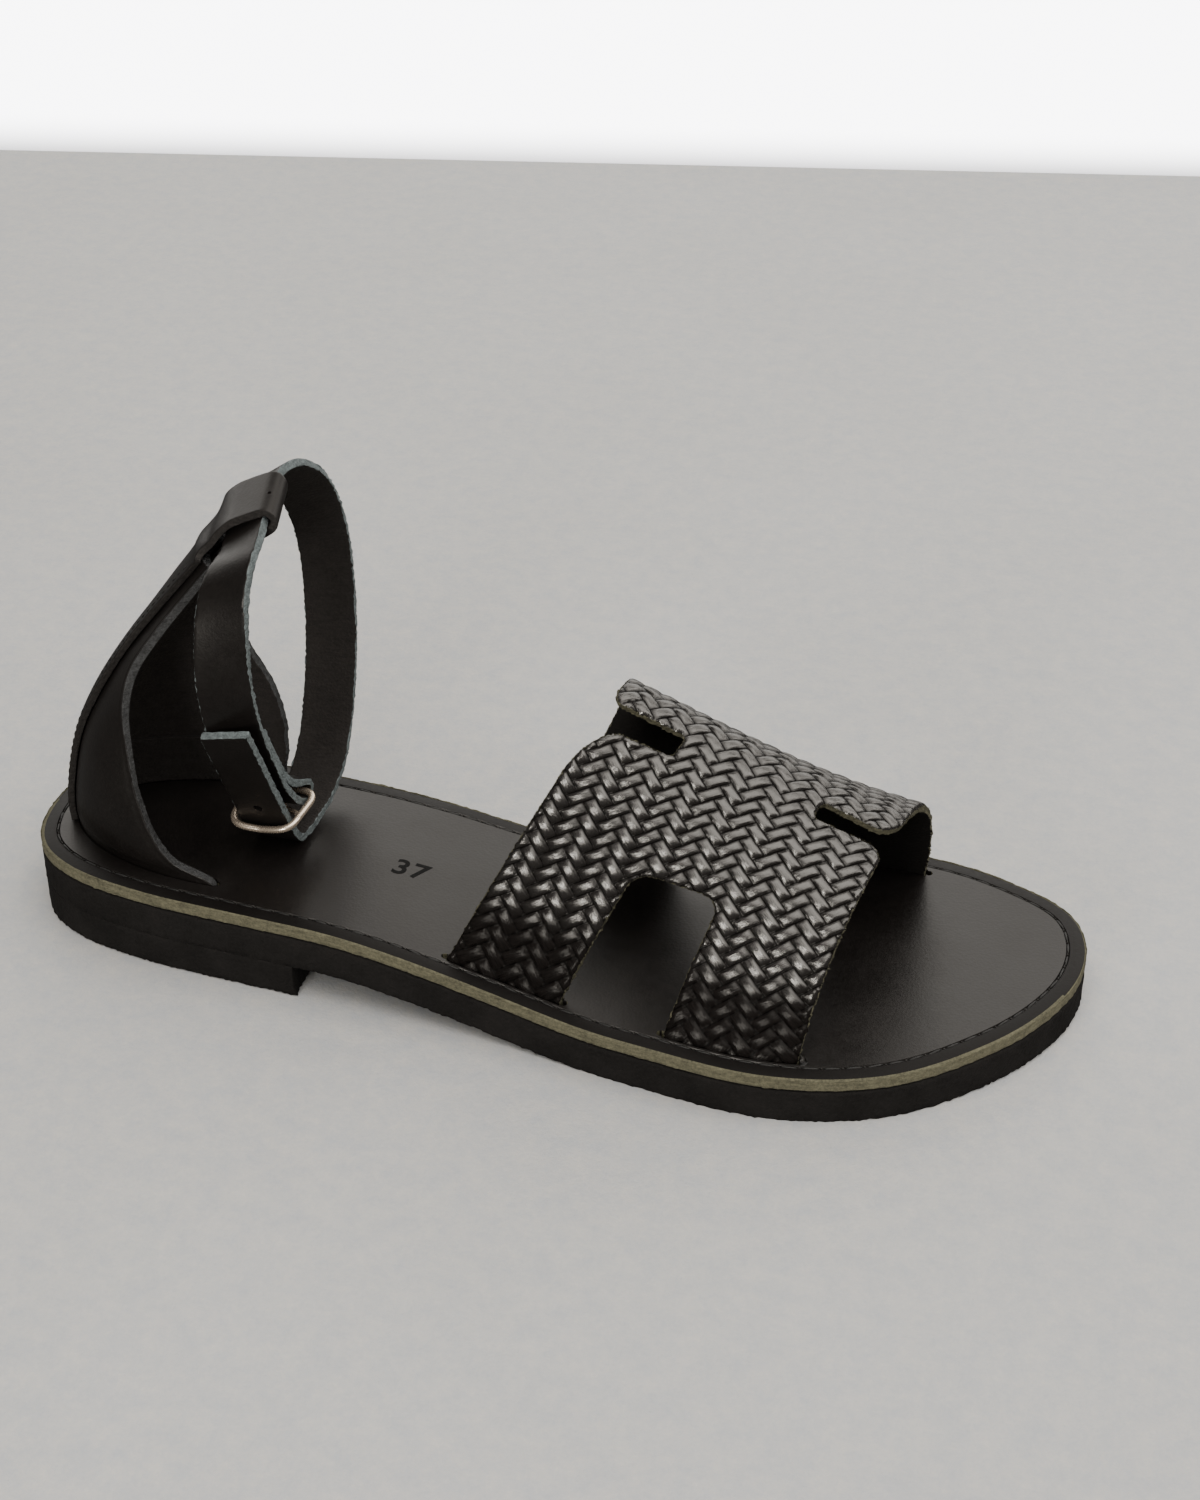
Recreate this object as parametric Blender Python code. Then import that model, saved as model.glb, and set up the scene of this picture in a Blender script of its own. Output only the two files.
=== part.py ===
"""Ankle strap sandal, right foot, European size 37.

Frame: +X to the toe, +Y to the inner (medial) side, +Z up, the floor at Z = 0, the origin
on the floor under the middle of the sole.  Every size below is in millimetres, measured
from the back of the heel; mesh_piece() turns it into metres about the origin.
"""
import math
from collections import namedtuple

import bmesh
import bpy
from mathutils import Vector

# ---------------------------------------------------------------- driving sizes
LENGTH = 250.0            # sole, heel to toe
FIT_GAP = 0.3             # between pieces that touch
LIFT_HEIGHT = 8.6         # heel lift, with the gap above it
LIFT_FRONT = 75.0         # straight breast of the lift, from the heel
BALL_START = 152.0        # where the outsole comes down to the floor
OUTSOLE_THICK = 8.5       # with the gap above it
INSOLE_THICK = 3.1
TOE_SPRING = 1.0
SPRING_START = 200.0

STRAP_THICK = 2.0         # front strap leather
STRAP_WIDE = 80.0         # front strap pattern, rear edge to front edge
STRAP_LONG = 150.0        # front strap pattern, outer foot to inner foot
SLIT_CLEAR = 0.35         # round a strap in its slit
COUNTER_THICK = 2.2
STRIP_THICK = 1.6
STRIP_HALF = 8.5          # back strip, half width measured round the counter
ANKLE_WIDE = 12.3
ANKLE_THICK = 2.0
WIRE = 1.7                # buckle wire, diameter
PIN = 1.3                 # prong wire, diameter

# Half widths of the sole at equal turns of 15 degrees, from the heel (0) to the toe (180);
# the station at a turn t lies at x = LENGTH / 2 * (1 - cos t).
SoleRow = namedtuple("SoleRow", "outer inner")
SOLE = (
    SoleRow(0.0, 0.0), SoleRow(16.5, 18.0), SoleRow(26.0, 28.8), SoleRow(30.7, 29.6),
    SoleRow(32.7, 28.3), SoleRow(34.5, 26.3), SoleRow(37.2, 26.8), SoleRow(42.4, 36.2),
    SoleRow(44.9, 45.4), SoleRow(37.8, 45.2), SoleRow(21.6, 38.6), SoleRow(3.6, 29.2),
    SoleRow(-13.9, 13.9),
)

# Heel counter, outside face: where its back stands, and how wide and how far forward each
# side reaches at that height.
CounterRow = namedtuple("CounterRow", "z back outer_wide outer_reach inner_wide inner_reach")
COUNTER = (
    CounterRow(15.0, 7.8, 23.5, 43.7, 22.0, 43.7),
    CounterRow(20.5, 7.8, 23.5, 43.7, 22.0, 43.7),
    CounterRow(24.0, 8.0, 23.5, 34.9, 22.0, 44.3),
    CounterRow(30.0, 8.8, 23.0, 29.1, 21.8, 44.5),
    CounterRow(40.0, 11.1, 21.4, 22.9, 21.0, 42.6),
    CounterRow(50.0, 14.6, 19.4, 17.4, 20.0, 37.4),
    CounterRow(60.0, 20.1, 17.0, 10.4, 18.0, 28.2),
    CounterRow(70.0, 26.9, 14.8, 5.5, 15.5, 18.8),
    CounterRow(80.0, 34.5, 12.4, 4.2, 13.0, 11.2),
    CounterRow(90.0, 42.0, 10.4, 4.6, 10.6, 6.6),
    CounterRow(97.0, 47.3, 9.3, 4.9, 9.3, 4.9),
)
COUNTER_FOOT = 20.5       # insole top under the counter

# Front strap, its rear and front edges as arches over the foot.
ArchRow = namedtuple("ArchRow", "outer_x inner_x rise square lean bulge skew")
REAR_ARCH = ArchRow(111.8, 118.5, 58.5, 2.05, 28.2, -0.09, 7.6)
FRONT_ARCH = ArchRow(194.1, 209.0, 35.6, 2.0, 4.9, -0.10, 2.0)
OUTER_INSET = 6.5         # strap feet from the sole's edge
INNER_INSET = 7.0

# Cut-outs of the front strap in its flat pattern: along its width, then along its length.
LEG_ARCH = (28.7, 50.8, 36.6)        # from, to, height above the foot
LEG_ARCH_ROUND = 5.0
LEG_SPLAY = 2.8                      # its rear side leans back by this at the foot
REAR_SLOT = (21.3, 66.3, 72.8)       # depth from the rear edge, then its two sides
FRONT_SLOT = (59.7, 67.3, 73.5)      # its blind end, then its two sides
SLOT_ROUND = 1.5

# Back strip above the counter, middle of its thickness in the shoe's middle plane: low and
# high are its sides, bow how far they bend inwards, tilt its rise across.
TongueRow = namedtuple("TongueRow", "x z low high bow tilt")
NECK = (
    TongueRow(47.2, 99.6, -8.0, 8.0, 2.3, 0.06),
    TongueRow(48.5, 101.1, -7.2, 5.4, 1.4, 0.14),
    TongueRow(50.9, 103.7, -7.0, 4.4, 0.7, 0.26),
)
TAIL_START = TongueRow(53.2, 97.6, -6.0, 4.6, -0.6, 0.2)
TUNNEL_STOPS = (-6.0, -2.0, 2.0, 6.15)        # along the ankle strap's width
TUNNEL_CROWN = (0.8, 1.3, 0.8, 0.0)           # how far it stands off the strap on top
TUNNEL_TURNS = (36.0, 72.0, 108.0, 144.0)     # round its front edge
TUNNEL_LOW = -7.0
TUNNEL_HIGH = 3.9
TONGUE_TAIL = (95.0, 90.0, 85.0)     # heights of the tail glued inside the counter
TAIL_HALF = 5.5

# Ankle strap, middle of the leather from the buckle through the tunnel to the free end;
# lean turns its front edge outwards about its length, in degrees.
StrapRow = namedtuple("StrapRow", "x y z lean")
HINGE_Y = 2.9             # buckle bar that the strap is folded round
HINGE_Z = 32.2
FOLD_THICK = 1.6          # the leather is thinned there
FOLD_RADIUS = 2.3         # middle of the leather
FOLD_TURNS = (58.0, 20.0, -20.0, -60.0, -100.0, -128.0)
FOLD_ROWS = 6             # rows of the near strand that the folded end lies against
NEAR_STRAND = (
    StrapRow(60.0, -1.9, 32.4, 0.0),
    StrapRow(60.0, -5.3, 35.7, -2.0),
    StrapRow(60.0, -9.0, 40.2, -5.0),
    StrapRow(60.0, -12.4, 46.0, -9.0),
    StrapRow(60.0, -15.6, 52.0, -11.5),
    StrapRow(60.0, -18.4, 58.0, -13.5),
    StrapRow(60.0, -21.2, 65.0, -15.0),
    StrapRow(60.0, -23.2, 76.0, -12.0),
    StrapRow(60.3, -22.8, 88.0, -6.0),
    StrapRow(60.5, -19.9, 96.6, 4.0),
    StrapRow(60.9, -15.4, 101.4, 19.0),
    StrapRow(61.15, -10.3, 103.8, 33.0),
)
TUNNEL_X = 59.5           # middle of the strap in the tunnel, at the shoe's middle plane
TUNNEL_Z = 107.6
TUNNEL_SLANT = -0.16      # its run forward and up for each millimetre inwards
TUNNEL_RISE = 0.37
TUNNEL_TURN = 36.0        # of its section, and the lean along its run that gives it
TUNNEL_LEAN = 33.7
TUNNEL_PASS = (-7.6, -3.2, 1.2, 5.6)
FAR_STRAND = (
    StrapRow(59.1, 9.4, 110.4, 34.0),
    StrapRow(60.3, 14.2, 109.3, 34.5),
    StrapRow(61.3, 19.5, 105.8, 33.5),
    StrapRow(61.5, 24.6, 101.0, 30.0),
    StrapRow(61.8, 29.4, 93.0, 22.0),
    StrapRow(62.0, 32.6, 81.8, 13.0),
    StrapRow(62.0, 33.6, 68.5, 9.0),
    StrapRow(62.0, 31.9, 54.1, 10.0),
    StrapRow(61.9, 27.1, 38.5, 10.0),
    StrapRow(61.6, 21.4, 29.2, 6.0),
    StrapRow(61.0, 14.0, 23.8, 2.0),
    StrapRow(60.4, 6.0, 22.0, 0.0),
    StrapRow(60.2, 1.0, 21.9, 0.0),
    StrapRow(60.1, -2.6, 22.6, 0.0),
    StrapRow(60.0, -5.0, 25.0, 0.0),
)
FREE_END = (
    StrapRow(60.0, -9.0, 31.8, 0.0),
    StrapRow(60.0, -17.4, 48.2, 0.0),
    StrapRow(60.0, -26.6, 66.2, 0.0),
)
END_SLANT = 3.0           # its rear corner is cut back by this
PRONG_SLOT = (3.2, -2.8, 8.0, 27.6, 36.4)     # width, then from and to in y, from and to in z
FREE_HOLES = (5.4,)       # along the free end, from its first row
HOLE_WIDE = 2.3

FRAME_X = 59.7            # middle of the buckle along the strap's width
FRAME_HALF = 8.2          # middle of its wire, half its length
FRAME_SQUARE = (4.0, 6.0)  # how square its outer and its hinge side are
FRAME_FAR_Y = -11.2       # its outer bar
FRAME_FAR_Z = 29.4
FRAME_LIFT = 1.8          # its outer bar is bent up towards the front
PRONG_WAY = ((60.4, 0.8, 29.7), (61.2, -0.6, 29.2), (63.6, -2.6, 29.9), (66.0, -4.4, 30.6))
RIVET_ROW = 4             # row of the near strand that the rivet goes through
RIVET_CAP = 3.4
RIVET_STEM = 1.2

BLACK = (0.012, 0.012, 0.013)


# ---------------------------------------------------------------- small tools
def clear_scene():
    for item in list(bpy.data.objects):
        bpy.data.objects.remove(item, do_unlink=True)


def finish(name, colour, roughness, metallic=0.0):
    material = bpy.data.materials.new(name)
    material.use_nodes = True
    shader = material.node_tree.nodes["Principled BSDF"]
    shader.inputs["Base Color"].default_value = (*colour, 1.0)
    shader.inputs["Roughness"].default_value = roughness
    shader.inputs["Metallic"].default_value = metallic
    return material


def smooth_at(places, values, where):
    """Smooth curve through values (tuples) that stand at rising places, read at where."""
    last = len(places) - 1
    where = min(max(where, places[0]), places[last])
    i = 0
    while i < last - 1 and where > places[i + 1]:
        i += 1
    span = places[i + 1] - places[i]
    t = (where - places[i]) / span

    def slope(k, column):
        a = max(k - 1, 0)
        b = min(k + 1, last)
        return (values[b][column] - values[a][column]) / (places[b] - places[a])

    out = []
    for column in range(len(values[0])):
        p, q = values[i][column], values[i + 1][column]
        m, n = slope(i, column) * span, slope(i + 1, column) * span
        out.append((2 * t ** 3 - 3 * t ** 2 + 1) * p + (t ** 3 - 2 * t ** 2 + t) * m
                   + (3 * t ** 2 - 2 * t ** 3) * q + (t ** 3 - t ** 2) * n)
    return tuple(out)


def mix(a, b, t):
    return a + (b - a) * t


def mesh_piece(name, points, faces, material=None):
    """Makes an object of points in millimetres, with its faces turned outwards."""
    mesh = bpy.data.meshes.new(name)
    mesh.from_pydata([((p[0] - LENGTH / 2) / 1000, (p[1] - MIDDLE_Y) / 1000, p[2] / 1000)
                      for p in points], [], faces)
    shape = bmesh.new()
    shape.from_mesh(mesh)
    bmesh.ops.recalc_face_normals(shape, faces=shape.faces)
    shape.to_mesh(mesh)
    shape.free()
    piece = bpy.data.objects.new(name, mesh)
    bpy.context.scene.collection.objects.link(piece)
    if material:
        mesh.materials.append(material)
    return piece


def ring_faces(rows, count, closed=False):
    """Faces of a tube of rings with count corners each, capped unless it is closed."""
    faces = []
    for r in range(rows if closed else rows - 1):
        nxt = (r + 1) % rows
        for k in range(count):
            j = (k + 1) % count
            faces.append((r * count + k, r * count + j, nxt * count + j, nxt * count + k))
    if not closed:
        faces.append(tuple(reversed(range(count))))
        faces.append(tuple((rows - 1) * count + k for k in range(count)))
    return faces


def sheet_piece(name, grid, material=None):
    """Closes a sheet: grid[row][column] is a pair of points, one on each face."""
    rows, columns = len(grid), len(grid[0])
    rings = []
    for row in grid:
        rings += [pair[0] for pair in row]
        rings += [pair[1] for pair in reversed(row)]
    faces = ring_faces(rows, 2 * columns)[:-2]
    for r in (0, rows - 1):
        start = r * 2 * columns
        for c in range(columns - 1):
            faces.append((start + c, start + c + 1,
                          start + 2 * columns - 2 - c, start + 2 * columns - 1 - c))
    return mesh_piece(name, rings, faces, material)


def triangulate(piece):
    shape = bmesh.new()
    shape.from_mesh(piece.data)
    bmesh.ops.triangulate(shape, faces=shape.faces)
    shape.to_mesh(piece.data)
    shape.free()


def cut(body, cutter):
    """Takes the cutter away from the body, and removes it."""
    tool = body.modifiers.new("cut", "BOOLEAN")
    tool.operation = "DIFFERENCE"
    tool.solver = "EXACT"
    tool.object = cutter
    graph = bpy.context.evaluated_depsgraph_get()
    graph.update()
    mesh = bpy.data.meshes.new_from_object(body.evaluated_get(graph))
    body.modifiers.clear()
    body.data = mesh
    bpy.data.objects.remove(cutter, do_unlink=True)


def shade(piece, degrees=40.0):
    for face in piece.data.polygons:
        face.use_smooth = True
    piece.data.set_sharp_from_angle(angle=math.radians(degrees))


# ---------------------------------------------------------------- sole
def sole_at_turn(turn):
    """Outer and inner half width at a turn in degrees."""
    return smooth_at([15.0 * k for k in range(len(SOLE))], SOLE, turn)


def turn_of(x):
    return math.degrees(math.acos(1 - 2 * x / LENGTH))


def under_outsole(x):
    """Height of the outsole's bottom: up on the lift, down at the ball, a little toe spring."""
    t = min(max((x - LIFT_FRONT) / (BALL_START - LIFT_FRONT), 0.0), 1.0)
    spring = TOE_SPRING * max((x - SPRING_START) / (LENGTH - SPRING_START), 0.0) ** 2
    return LIFT_HEIGHT * (0.5 + 0.5 * math.cos(math.pi * t)) + spring


def insole_top(x):
    return under_outsole(x) + OUTSOLE_THICK + INSOLE_THICK


MIDDLE_Y = (max(sole_at_turn(t)[1] for t in range(181))
            - max(sole_at_turn(t)[0] for t in range(181))) / 2
TIP_TURN = 1.6            # first and last station, just off the very ends


def sole_layer(name, turns, bottom, top, material):
    """A layer of the sole: four corners at each station."""
    points = []
    for turn in turns:
        x = LENGTH / 2 * (1 - math.cos(math.radians(turn)))
        outer, inner = sole_at_turn(turn)
        points += [(x, -outer, bottom(x)), (x, inner, bottom(x)),
                   (x, inner, top(x)), (x, -outer, top(x))]
    return mesh_piece(name, points, ring_faces(len(turns), 4), material)


def even_turns(first, last, count):
    return [mix(first, last, k / (count - 1)) for k in range(count)]


def make_sole():
    rubber = finish("black_rubber", BLACK, 0.85)
    leather = finish("footbed_leather", (0.02, 0.019, 0.018), 0.42)
    sole_layer("heel_lift", even_turns(TIP_TURN, turn_of(LIFT_FRONT), 16),
               lambda x: 0.0, lambda x: LIFT_HEIGHT - FIT_GAP, rubber)
    full = even_turns(TIP_TURN, 180.0 - TIP_TURN, 46)
    sole_layer("outsole", full, under_outsole,
               lambda x: under_outsole(x) + OUTSOLE_THICK - FIT_GAP, rubber)
    insole = sole_layer("insole", full, lambda x: insole_top(x) - INSOLE_THICK,
                        insole_top, leather)
    for side in (0.0, STRAP_LONG):
        for leg in ((0.0, LEG_ARCH[0] - LEG_SPLAY + 0.6), (LEG_ARCH[1], STRAP_WIDE)):
            cut(insole, strap_slit(leg, side))
    cut(insole, counter_slit())


# ---------------------------------------------------------------- front strap
def foot_of_strap(x, outer):
    """A point on the insole where the strap goes down into its slit."""
    wide = sole_at_turn(turn_of(x))
    y = -(wide[0] - OUTER_INSET) if outer else wide[1] - INNER_INSET
    return Vector((x, y, insole_top(x)))


def arch_points(row, count=121):
    """An edge of the strap as an even row of points from the outer to the inner foot."""
    start = foot_of_strap(row.outer_x, True)
    end = foot_of_strap(row.inner_x, False)
    half = (end.y - start.y) / 2
    points = []
    for k in range(count):
        turn = math.pi * (1 - k / (count - 1))
        across = math.copysign(abs(math.cos(turn)) ** (2 / row.square), math.cos(turn))
        up = abs(math.sin(turn)) ** (2 / row.square)
        side = (across + 1) / 2
        swell = 1 + row.bulge * 4 * up * (1 - up)
        points.append(Vector((mix(start.x, end.x, side) + row.lean * up,
                              start.y + half + half * across * swell + row.skew * up,
                              mix(start.z, end.z, side) + row.rise * up)))
    return even_row(points)


def even_row(points):
    run = [0.0]
    for a, b in zip(points, points[1:]):
        run.append(run[-1] + (b - a).length)
    out = []
    i = 0
    for k in range(len(points)):
        want = run[-1] * k / (len(points) - 1)
        while i < len(points) - 2 and run[i + 1] < want:
            i += 1
        out.append(points[i].lerp(points[i + 1], (want - run[i]) / (run[i + 1] - run[i])))
    return out


def row_at(points, t):
    place = min(max(t, 0.0), 1.0) * (len(points) - 1)
    i = min(int(place), len(points) - 2)
    return points[i].lerp(points[i + 1], place - i)


REAR_EDGE = arch_points(REAR_ARCH)
FRONT_EDGE = arch_points(FRONT_ARCH)
FOOT_ZONE = 0.3           # share of the strap's length that is drawn to the insole's line


def strap_middle(across, along):
    """The middle of the leather at a place of the flat pattern, in millimetres."""
    s = across / STRAP_WIDE
    t = min(max(along / STRAP_LONG, 0.0), 1.0)
    point = row_at(REAR_EDGE, t).lerp(row_at(FRONT_EDGE, t), s)
    outer = t < 0.5
    ruled = (REAR_EDGE[0].lerp(FRONT_EDGE[0], s) if outer
             else REAR_EDGE[-1].lerp(FRONT_EDGE[-1], s))
    near = max(1 - min(t, 1 - t) / FOOT_ZONE, 0.0) ** 2
    point = point + (foot_of_strap(ruled.x, outer) - ruled) * near
    below = max(-along, along - STRAP_LONG, 0.0)
    return point - Vector((0, 0, below))


def strap_point(across, along, off):
    """The same place, moved off the middle of the leather along its outward normal."""
    step = 0.5
    inside = min(max(along, step), STRAP_LONG - step)
    one = strap_middle(across + step, inside) - strap_middle(across - step, inside)
    two = strap_middle(across, inside + step) - strap_middle(across, inside - step)
    normal = one.cross(two).normalized()
    if along < step or along > STRAP_LONG - step:
        normal = Vector((normal.x, normal.y, 0)).normalized()
    return strap_middle(across, along) + normal * off


def flat_slab(across, along, thick, columns, rows):
    """A grid plate in the flat pattern's plane, as points and faces."""
    grid = []
    for r in range(rows + 1):
        y = mix(along[0], along[1], r / rows)
        grid.append([((mix(across[0], across[1], c / columns), y, thick / 2),
                      (mix(across[0], across[1], c / columns), y, -thick / 2))
                     for c in range(columns + 1)])
    return grid


def rounded_cutter(low, high, radius, depth=6.0, steps=5, splay=0.0):
    """An upright prism with round corners, from corner low to corner high of the pattern;
    splay widens its rear side towards the foot: downwards if positive, else upwards."""
    centres = ((high[0] - radius, high[1] - radius, 0), (low[0] + radius, high[1] - radius, 90),
               (low[0] + radius, low[1] + radius, 180), (high[0] - radius, low[1] + radius, 270))
    outline = []
    for x, y, start in centres:
        for k in range(steps):
            turn = math.radians(start + 90 * k / (steps - 1))
            out = abs(splay) if x < (low[0] + high[0]) / 2 and (y - high[1] + 20) * splay < 0 \
                and (y - low[1] - 20) * splay < 0 else 0.0
            outline.append((x + radius * math.cos(turn) - out, y + radius * math.sin(turn)))
    points = [(x, y, z) for z in (-depth / 2, depth / 2) for x, y in outline]
    return mesh_piece("cutter", points, ring_faces(2, len(outline)))


def corner_cutter(edge, side, run_in, run_along, steps=6):
    """Rounds the corner where a slot's side meets the strap's edge, as a quarter ellipse.

    edge is the pattern's edge, side the slot's side; run_in and run_along say how far the
    round reaches in from the edge and along it, with their signs."""
    centre = (edge + run_in, side + run_along)
    overshoot = 2.0
    outline = [(edge - math.copysign(overshoot, run_in), side - math.copysign(0.3, run_along)),
               (edge + run_in, side - math.copysign(0.3, run_along))]
    for k in range(steps + 1):
        turn = math.pi / 2 * k / steps
        outline.append((centre[0] - run_in * math.sin(turn),
                        centre[1] - run_along * math.cos(turn)))
    outline.append((edge - math.copysign(overshoot, run_in), side + run_along))
    points = [(x, y, z) for z in (-3.0, 3.0) for x, y in outline]
    return mesh_piece("cutter", points, ring_faces(2, len(outline)))


def strap_slit(leg, side):
    """The slit for one leg of the strap, a little larger than the leather in it."""
    low, high = (-6.0, 1.6) if side == 0.0 else (STRAP_LONG - 1.6, STRAP_LONG + 6.0)
    grid = []
    for r in range(6):
        along = mix(low, high, r / 5)
        row = []
        for c in range(15):
            across = mix(leg[0] - SLIT_CLEAR, leg[1] + SLIT_CLEAR, c / 14)
            off = STRAP_THICK / 2 + SLIT_CLEAR
            row.append((strap_point(across, along, off), strap_point(across, along, -off)))
        grid.append(row)
    return sheet_piece("cutter", grid)


def make_front_strap():
    """Cut flat with its arches and slots, then bent over the foot."""
    tuck = INSOLE_THICK
    slab = flat_slab((0.0, STRAP_WIDE), (-tuck, STRAP_LONG + tuck), STRAP_THICK, 10, 54)
    strap = sheet_piece("front_strap", slab, finish("woven_leather", BLACK, 0.38))
    start, stop, height = LEG_ARCH
    far = STRAP_LONG + tuck + 3
    slot_in, slot_low, slot_high = REAR_SLOT
    front_in, front_low, front_high = FRONT_SLOT
    beyond = 6.0
    cutters = (
        rounded_cutter((start, -tuck - 9), (stop, height), LEG_ARCH_ROUND, splay=LEG_SPLAY),
        rounded_cutter((start, STRAP_LONG - height), (stop, far + 6), LEG_ARCH_ROUND,
                       splay=-LEG_SPLAY),
        rounded_cutter((-beyond, slot_low), (slot_in, slot_high), SLOT_ROUND, steps=4),
        rounded_cutter((front_in, front_low), (STRAP_WIDE + beyond, front_high), SLOT_ROUND,
                       steps=4),
        corner_cutter(0.0, slot_low, 8.0, -13.0),
        corner_cutter(0.0, slot_high, 3.0, 4.0),
        corner_cutter(STRAP_WIDE, front_low, -5.0, -6.0),
        corner_cutter(STRAP_WIDE, front_high, -5.5, 8.0),
    )
    for cutter in cutters:
        cut(strap, cutter)
    shape = bmesh.new()
    shape.from_mesh(strap.data)
    bmesh.ops.triangulate(shape, faces=shape.faces)
    for corner in shape.verts:
        across = corner.co.x * 1000 + LENGTH / 2
        along = corner.co.y * 1000 + MIDDLE_Y
        point = strap_point(across, along, corner.co.z * 1000)
        corner.co = Vector(((point.x - LENGTH / 2) / 1000, (point.y - MIDDLE_Y) / 1000,
                            point.z / 1000))
    bmesh.ops.recalc_face_normals(shape, faces=shape.faces)
    shape.to_mesh(strap.data)
    shape.free()
    shade(strap)


# ---------------------------------------------------------------- heel counter
def counter_row(z):
    return CounterRow(z, *smooth_at([row.z for row in COUNTER], [row[1:] for row in COUNTER], z))


def side_arc(wide, reach, share):
    """Sideways and forward from the counter's back, at a share of one side's turn."""
    if reach >= wide:
        turn = math.pi / 2 * share
        return wide * math.sin(turn), reach * (1 - math.cos(turn))
    full = 2 * math.atan2(reach, wide)
    radius = wide / math.sin(full)
    return radius * math.sin(full * share), radius * (1 - math.cos(full * share))


def counter_outside(z, share):
    """A point of the outside face: share runs from -1 (outer front) to 1 (inner front)."""
    row = counter_row(z)
    if share < 0:
        side, ahead = side_arc(row.outer_wide, row.outer_reach, -share)
        return Vector((row.back + ahead, -side, z))
    side, ahead = side_arc(row.inner_wide, row.inner_reach, share)
    return Vector((row.back + ahead, side, z))


def counter_point(z, share, off):
    """The same point moved outwards along the face's normal."""
    step = 0.01
    low = max(min(share, 1 - step), step - 1)
    round_it = counter_outside(z, low + step) - counter_outside(z, low - step)
    up = counter_outside(z + 0.5, low) - counter_outside(z - 0.5, low)
    if z <= COUNTER_FOOT + 0.5:
        up = Vector((0, 0, 1))
    normal = up.cross(round_it).normalized()
    return counter_outside(z, share) + normal * off


def share_at_run(z, run):
    """The share at which a run in millimetres round from the back is reached."""
    sign = -1 if run < 0 else 1
    share, gone, step = 0.0, 0.0, 0.01
    before = counter_outside(z, 0.0)
    while gone < abs(run) and share < 1:
        share += step
        after = counter_outside(z, sign * share)
        gone += (after - before).length
        before = after
    return sign * share


def counter_grid(heights, outside, inside, columns, margin=0.0):
    grid = []
    for z in heights:
        grid.append([(counter_point(z, mix(-1 - margin, 1 + margin, c / columns), outside),
                      counter_point(z, mix(-1 - margin, 1 + margin, c / columns), inside))
                     for c in range(columns + 1)])
    return grid


def counter_slit():
    heights = (15.2, 16.6, 18.4, 19.6, 20.6, 21.6)
    return sheet_piece("cutter", counter_grid(heights, SLIT_CLEAR,
                                              -COUNTER_THICK - SLIT_CLEAR, 32, 0.006))


def make_counter():
    foot = COUNTER_FOOT - INSOLE_THICK
    heights = [foot, 19.2, 20.5, 22.2, 24.5, 28.0, 33.0, 39.0, 46.0, 53.0, 60.0, 67.0, 74.0,
               81.0, 87.0, 92.0, 97.0]
    grid = counter_grid(heights, 0.0, -COUNTER_THICK, 28)
    shade(sheet_piece("heel_counter", grid, finish("counter_leather", BLACK, 0.5)))


# ---------------------------------------------------------------- back strip and tunnel
def strip_row_outside(z, half):
    pairs = []
    for k in range(7):
        share = share_at_run(z, mix(-half, half, k / 6))
        pairs.append((counter_point(z, share, FIT_GAP + STRIP_THICK),
                      counter_point(z, share, FIT_GAP)))
    return pairs


def strip_row_tail(z):
    pairs = []
    behind = -COUNTER_THICK - FIT_GAP
    for k in range(7):
        share = share_at_run(z, mix(-TAIL_HALF, TAIL_HALF, k / 6))
        pairs.append((counter_point(z, share, behind - STRIP_THICK),
                      counter_point(z, share, behind)))
    return pairs


def tunnel_rows():
    """The tongue's middle over, round and back under the ankle strap."""
    turn = math.radians(TUNNEL_TURN)
    ahead, up = (math.cos(turn), math.sin(turn)), (-math.sin(turn), math.cos(turn))
    skew = math.hypot(1, math.sin(turn) * TUNNEL_SLANT - math.cos(turn) * TUNNEL_RISE)
    off = (ANKLE_THICK / 2 + FIT_GAP) * skew + STRIP_THICK / 2

    def row(along, out, bow):
        return TongueRow(TUNNEL_X + ahead[0] * along + up[0] * out,
                         TUNNEL_Z + ahead[1] * along + up[1] * out,
                         TUNNEL_LOW, TUNNEL_HIGH, bow, TUNNEL_RISE)

    rows = [row(stop, off + crown, 0.0) for stop, crown in zip(TUNNEL_STOPS, TUNNEL_CROWN)]
    for degrees in TUNNEL_TURNS:
        angle = math.radians(degrees)
        rows.append(row(TUNNEL_STOPS[-1] + off * math.sin(angle), off * math.cos(angle), 0.0))
    return rows + [row(stop, -off, 0.0) for stop in reversed(TUNNEL_STOPS)]


def tongue_rows():
    table = [*NECK, *tunnel_rows(), TAIL_START]
    rows = []
    for i, row in enumerate(table):
        before = table[max(i - 1, 0)]
        after = table[min(i + 1, len(table) - 1)]
        run = Vector((after.x - before.x, 0, after.z - before.z)).normalized()
        normal = Vector((-run.z, 0, run.x))
        slant = TUNNEL_SLANT * row.tilt / TUNNEL_RISE
        pairs = []
        for k in range(7):
            y = mix(row.low, row.high, k / 6)
            bend = row.bow * ((2 * k / 6 - 1) ** 2)
            middle = Vector((row.x + slant * y, y, row.z + row.tilt * y)) - normal * bend
            pairs.append((middle + normal * STRIP_THICK / 2, middle - normal * STRIP_THICK / 2))
        rows.append(pairs)
    return rows


def make_back_strip():
    first = COUNTER_FOOT + FIT_GAP
    heights = [first, 26.0, 33.0, 41.0, 49.0, 57.0, 65.0, 73.0, 81.0, 89.0, 96.5]
    rows = [strip_row_outside(z, STRIP_HALF) for z in heights]
    rows += tongue_rows()
    rows += [strip_row_tail(z) for z in TONGUE_TAIL]
    shade(sheet_piece("back_strip", rows, finish("strip_leather", BLACK, 0.45)))


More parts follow.
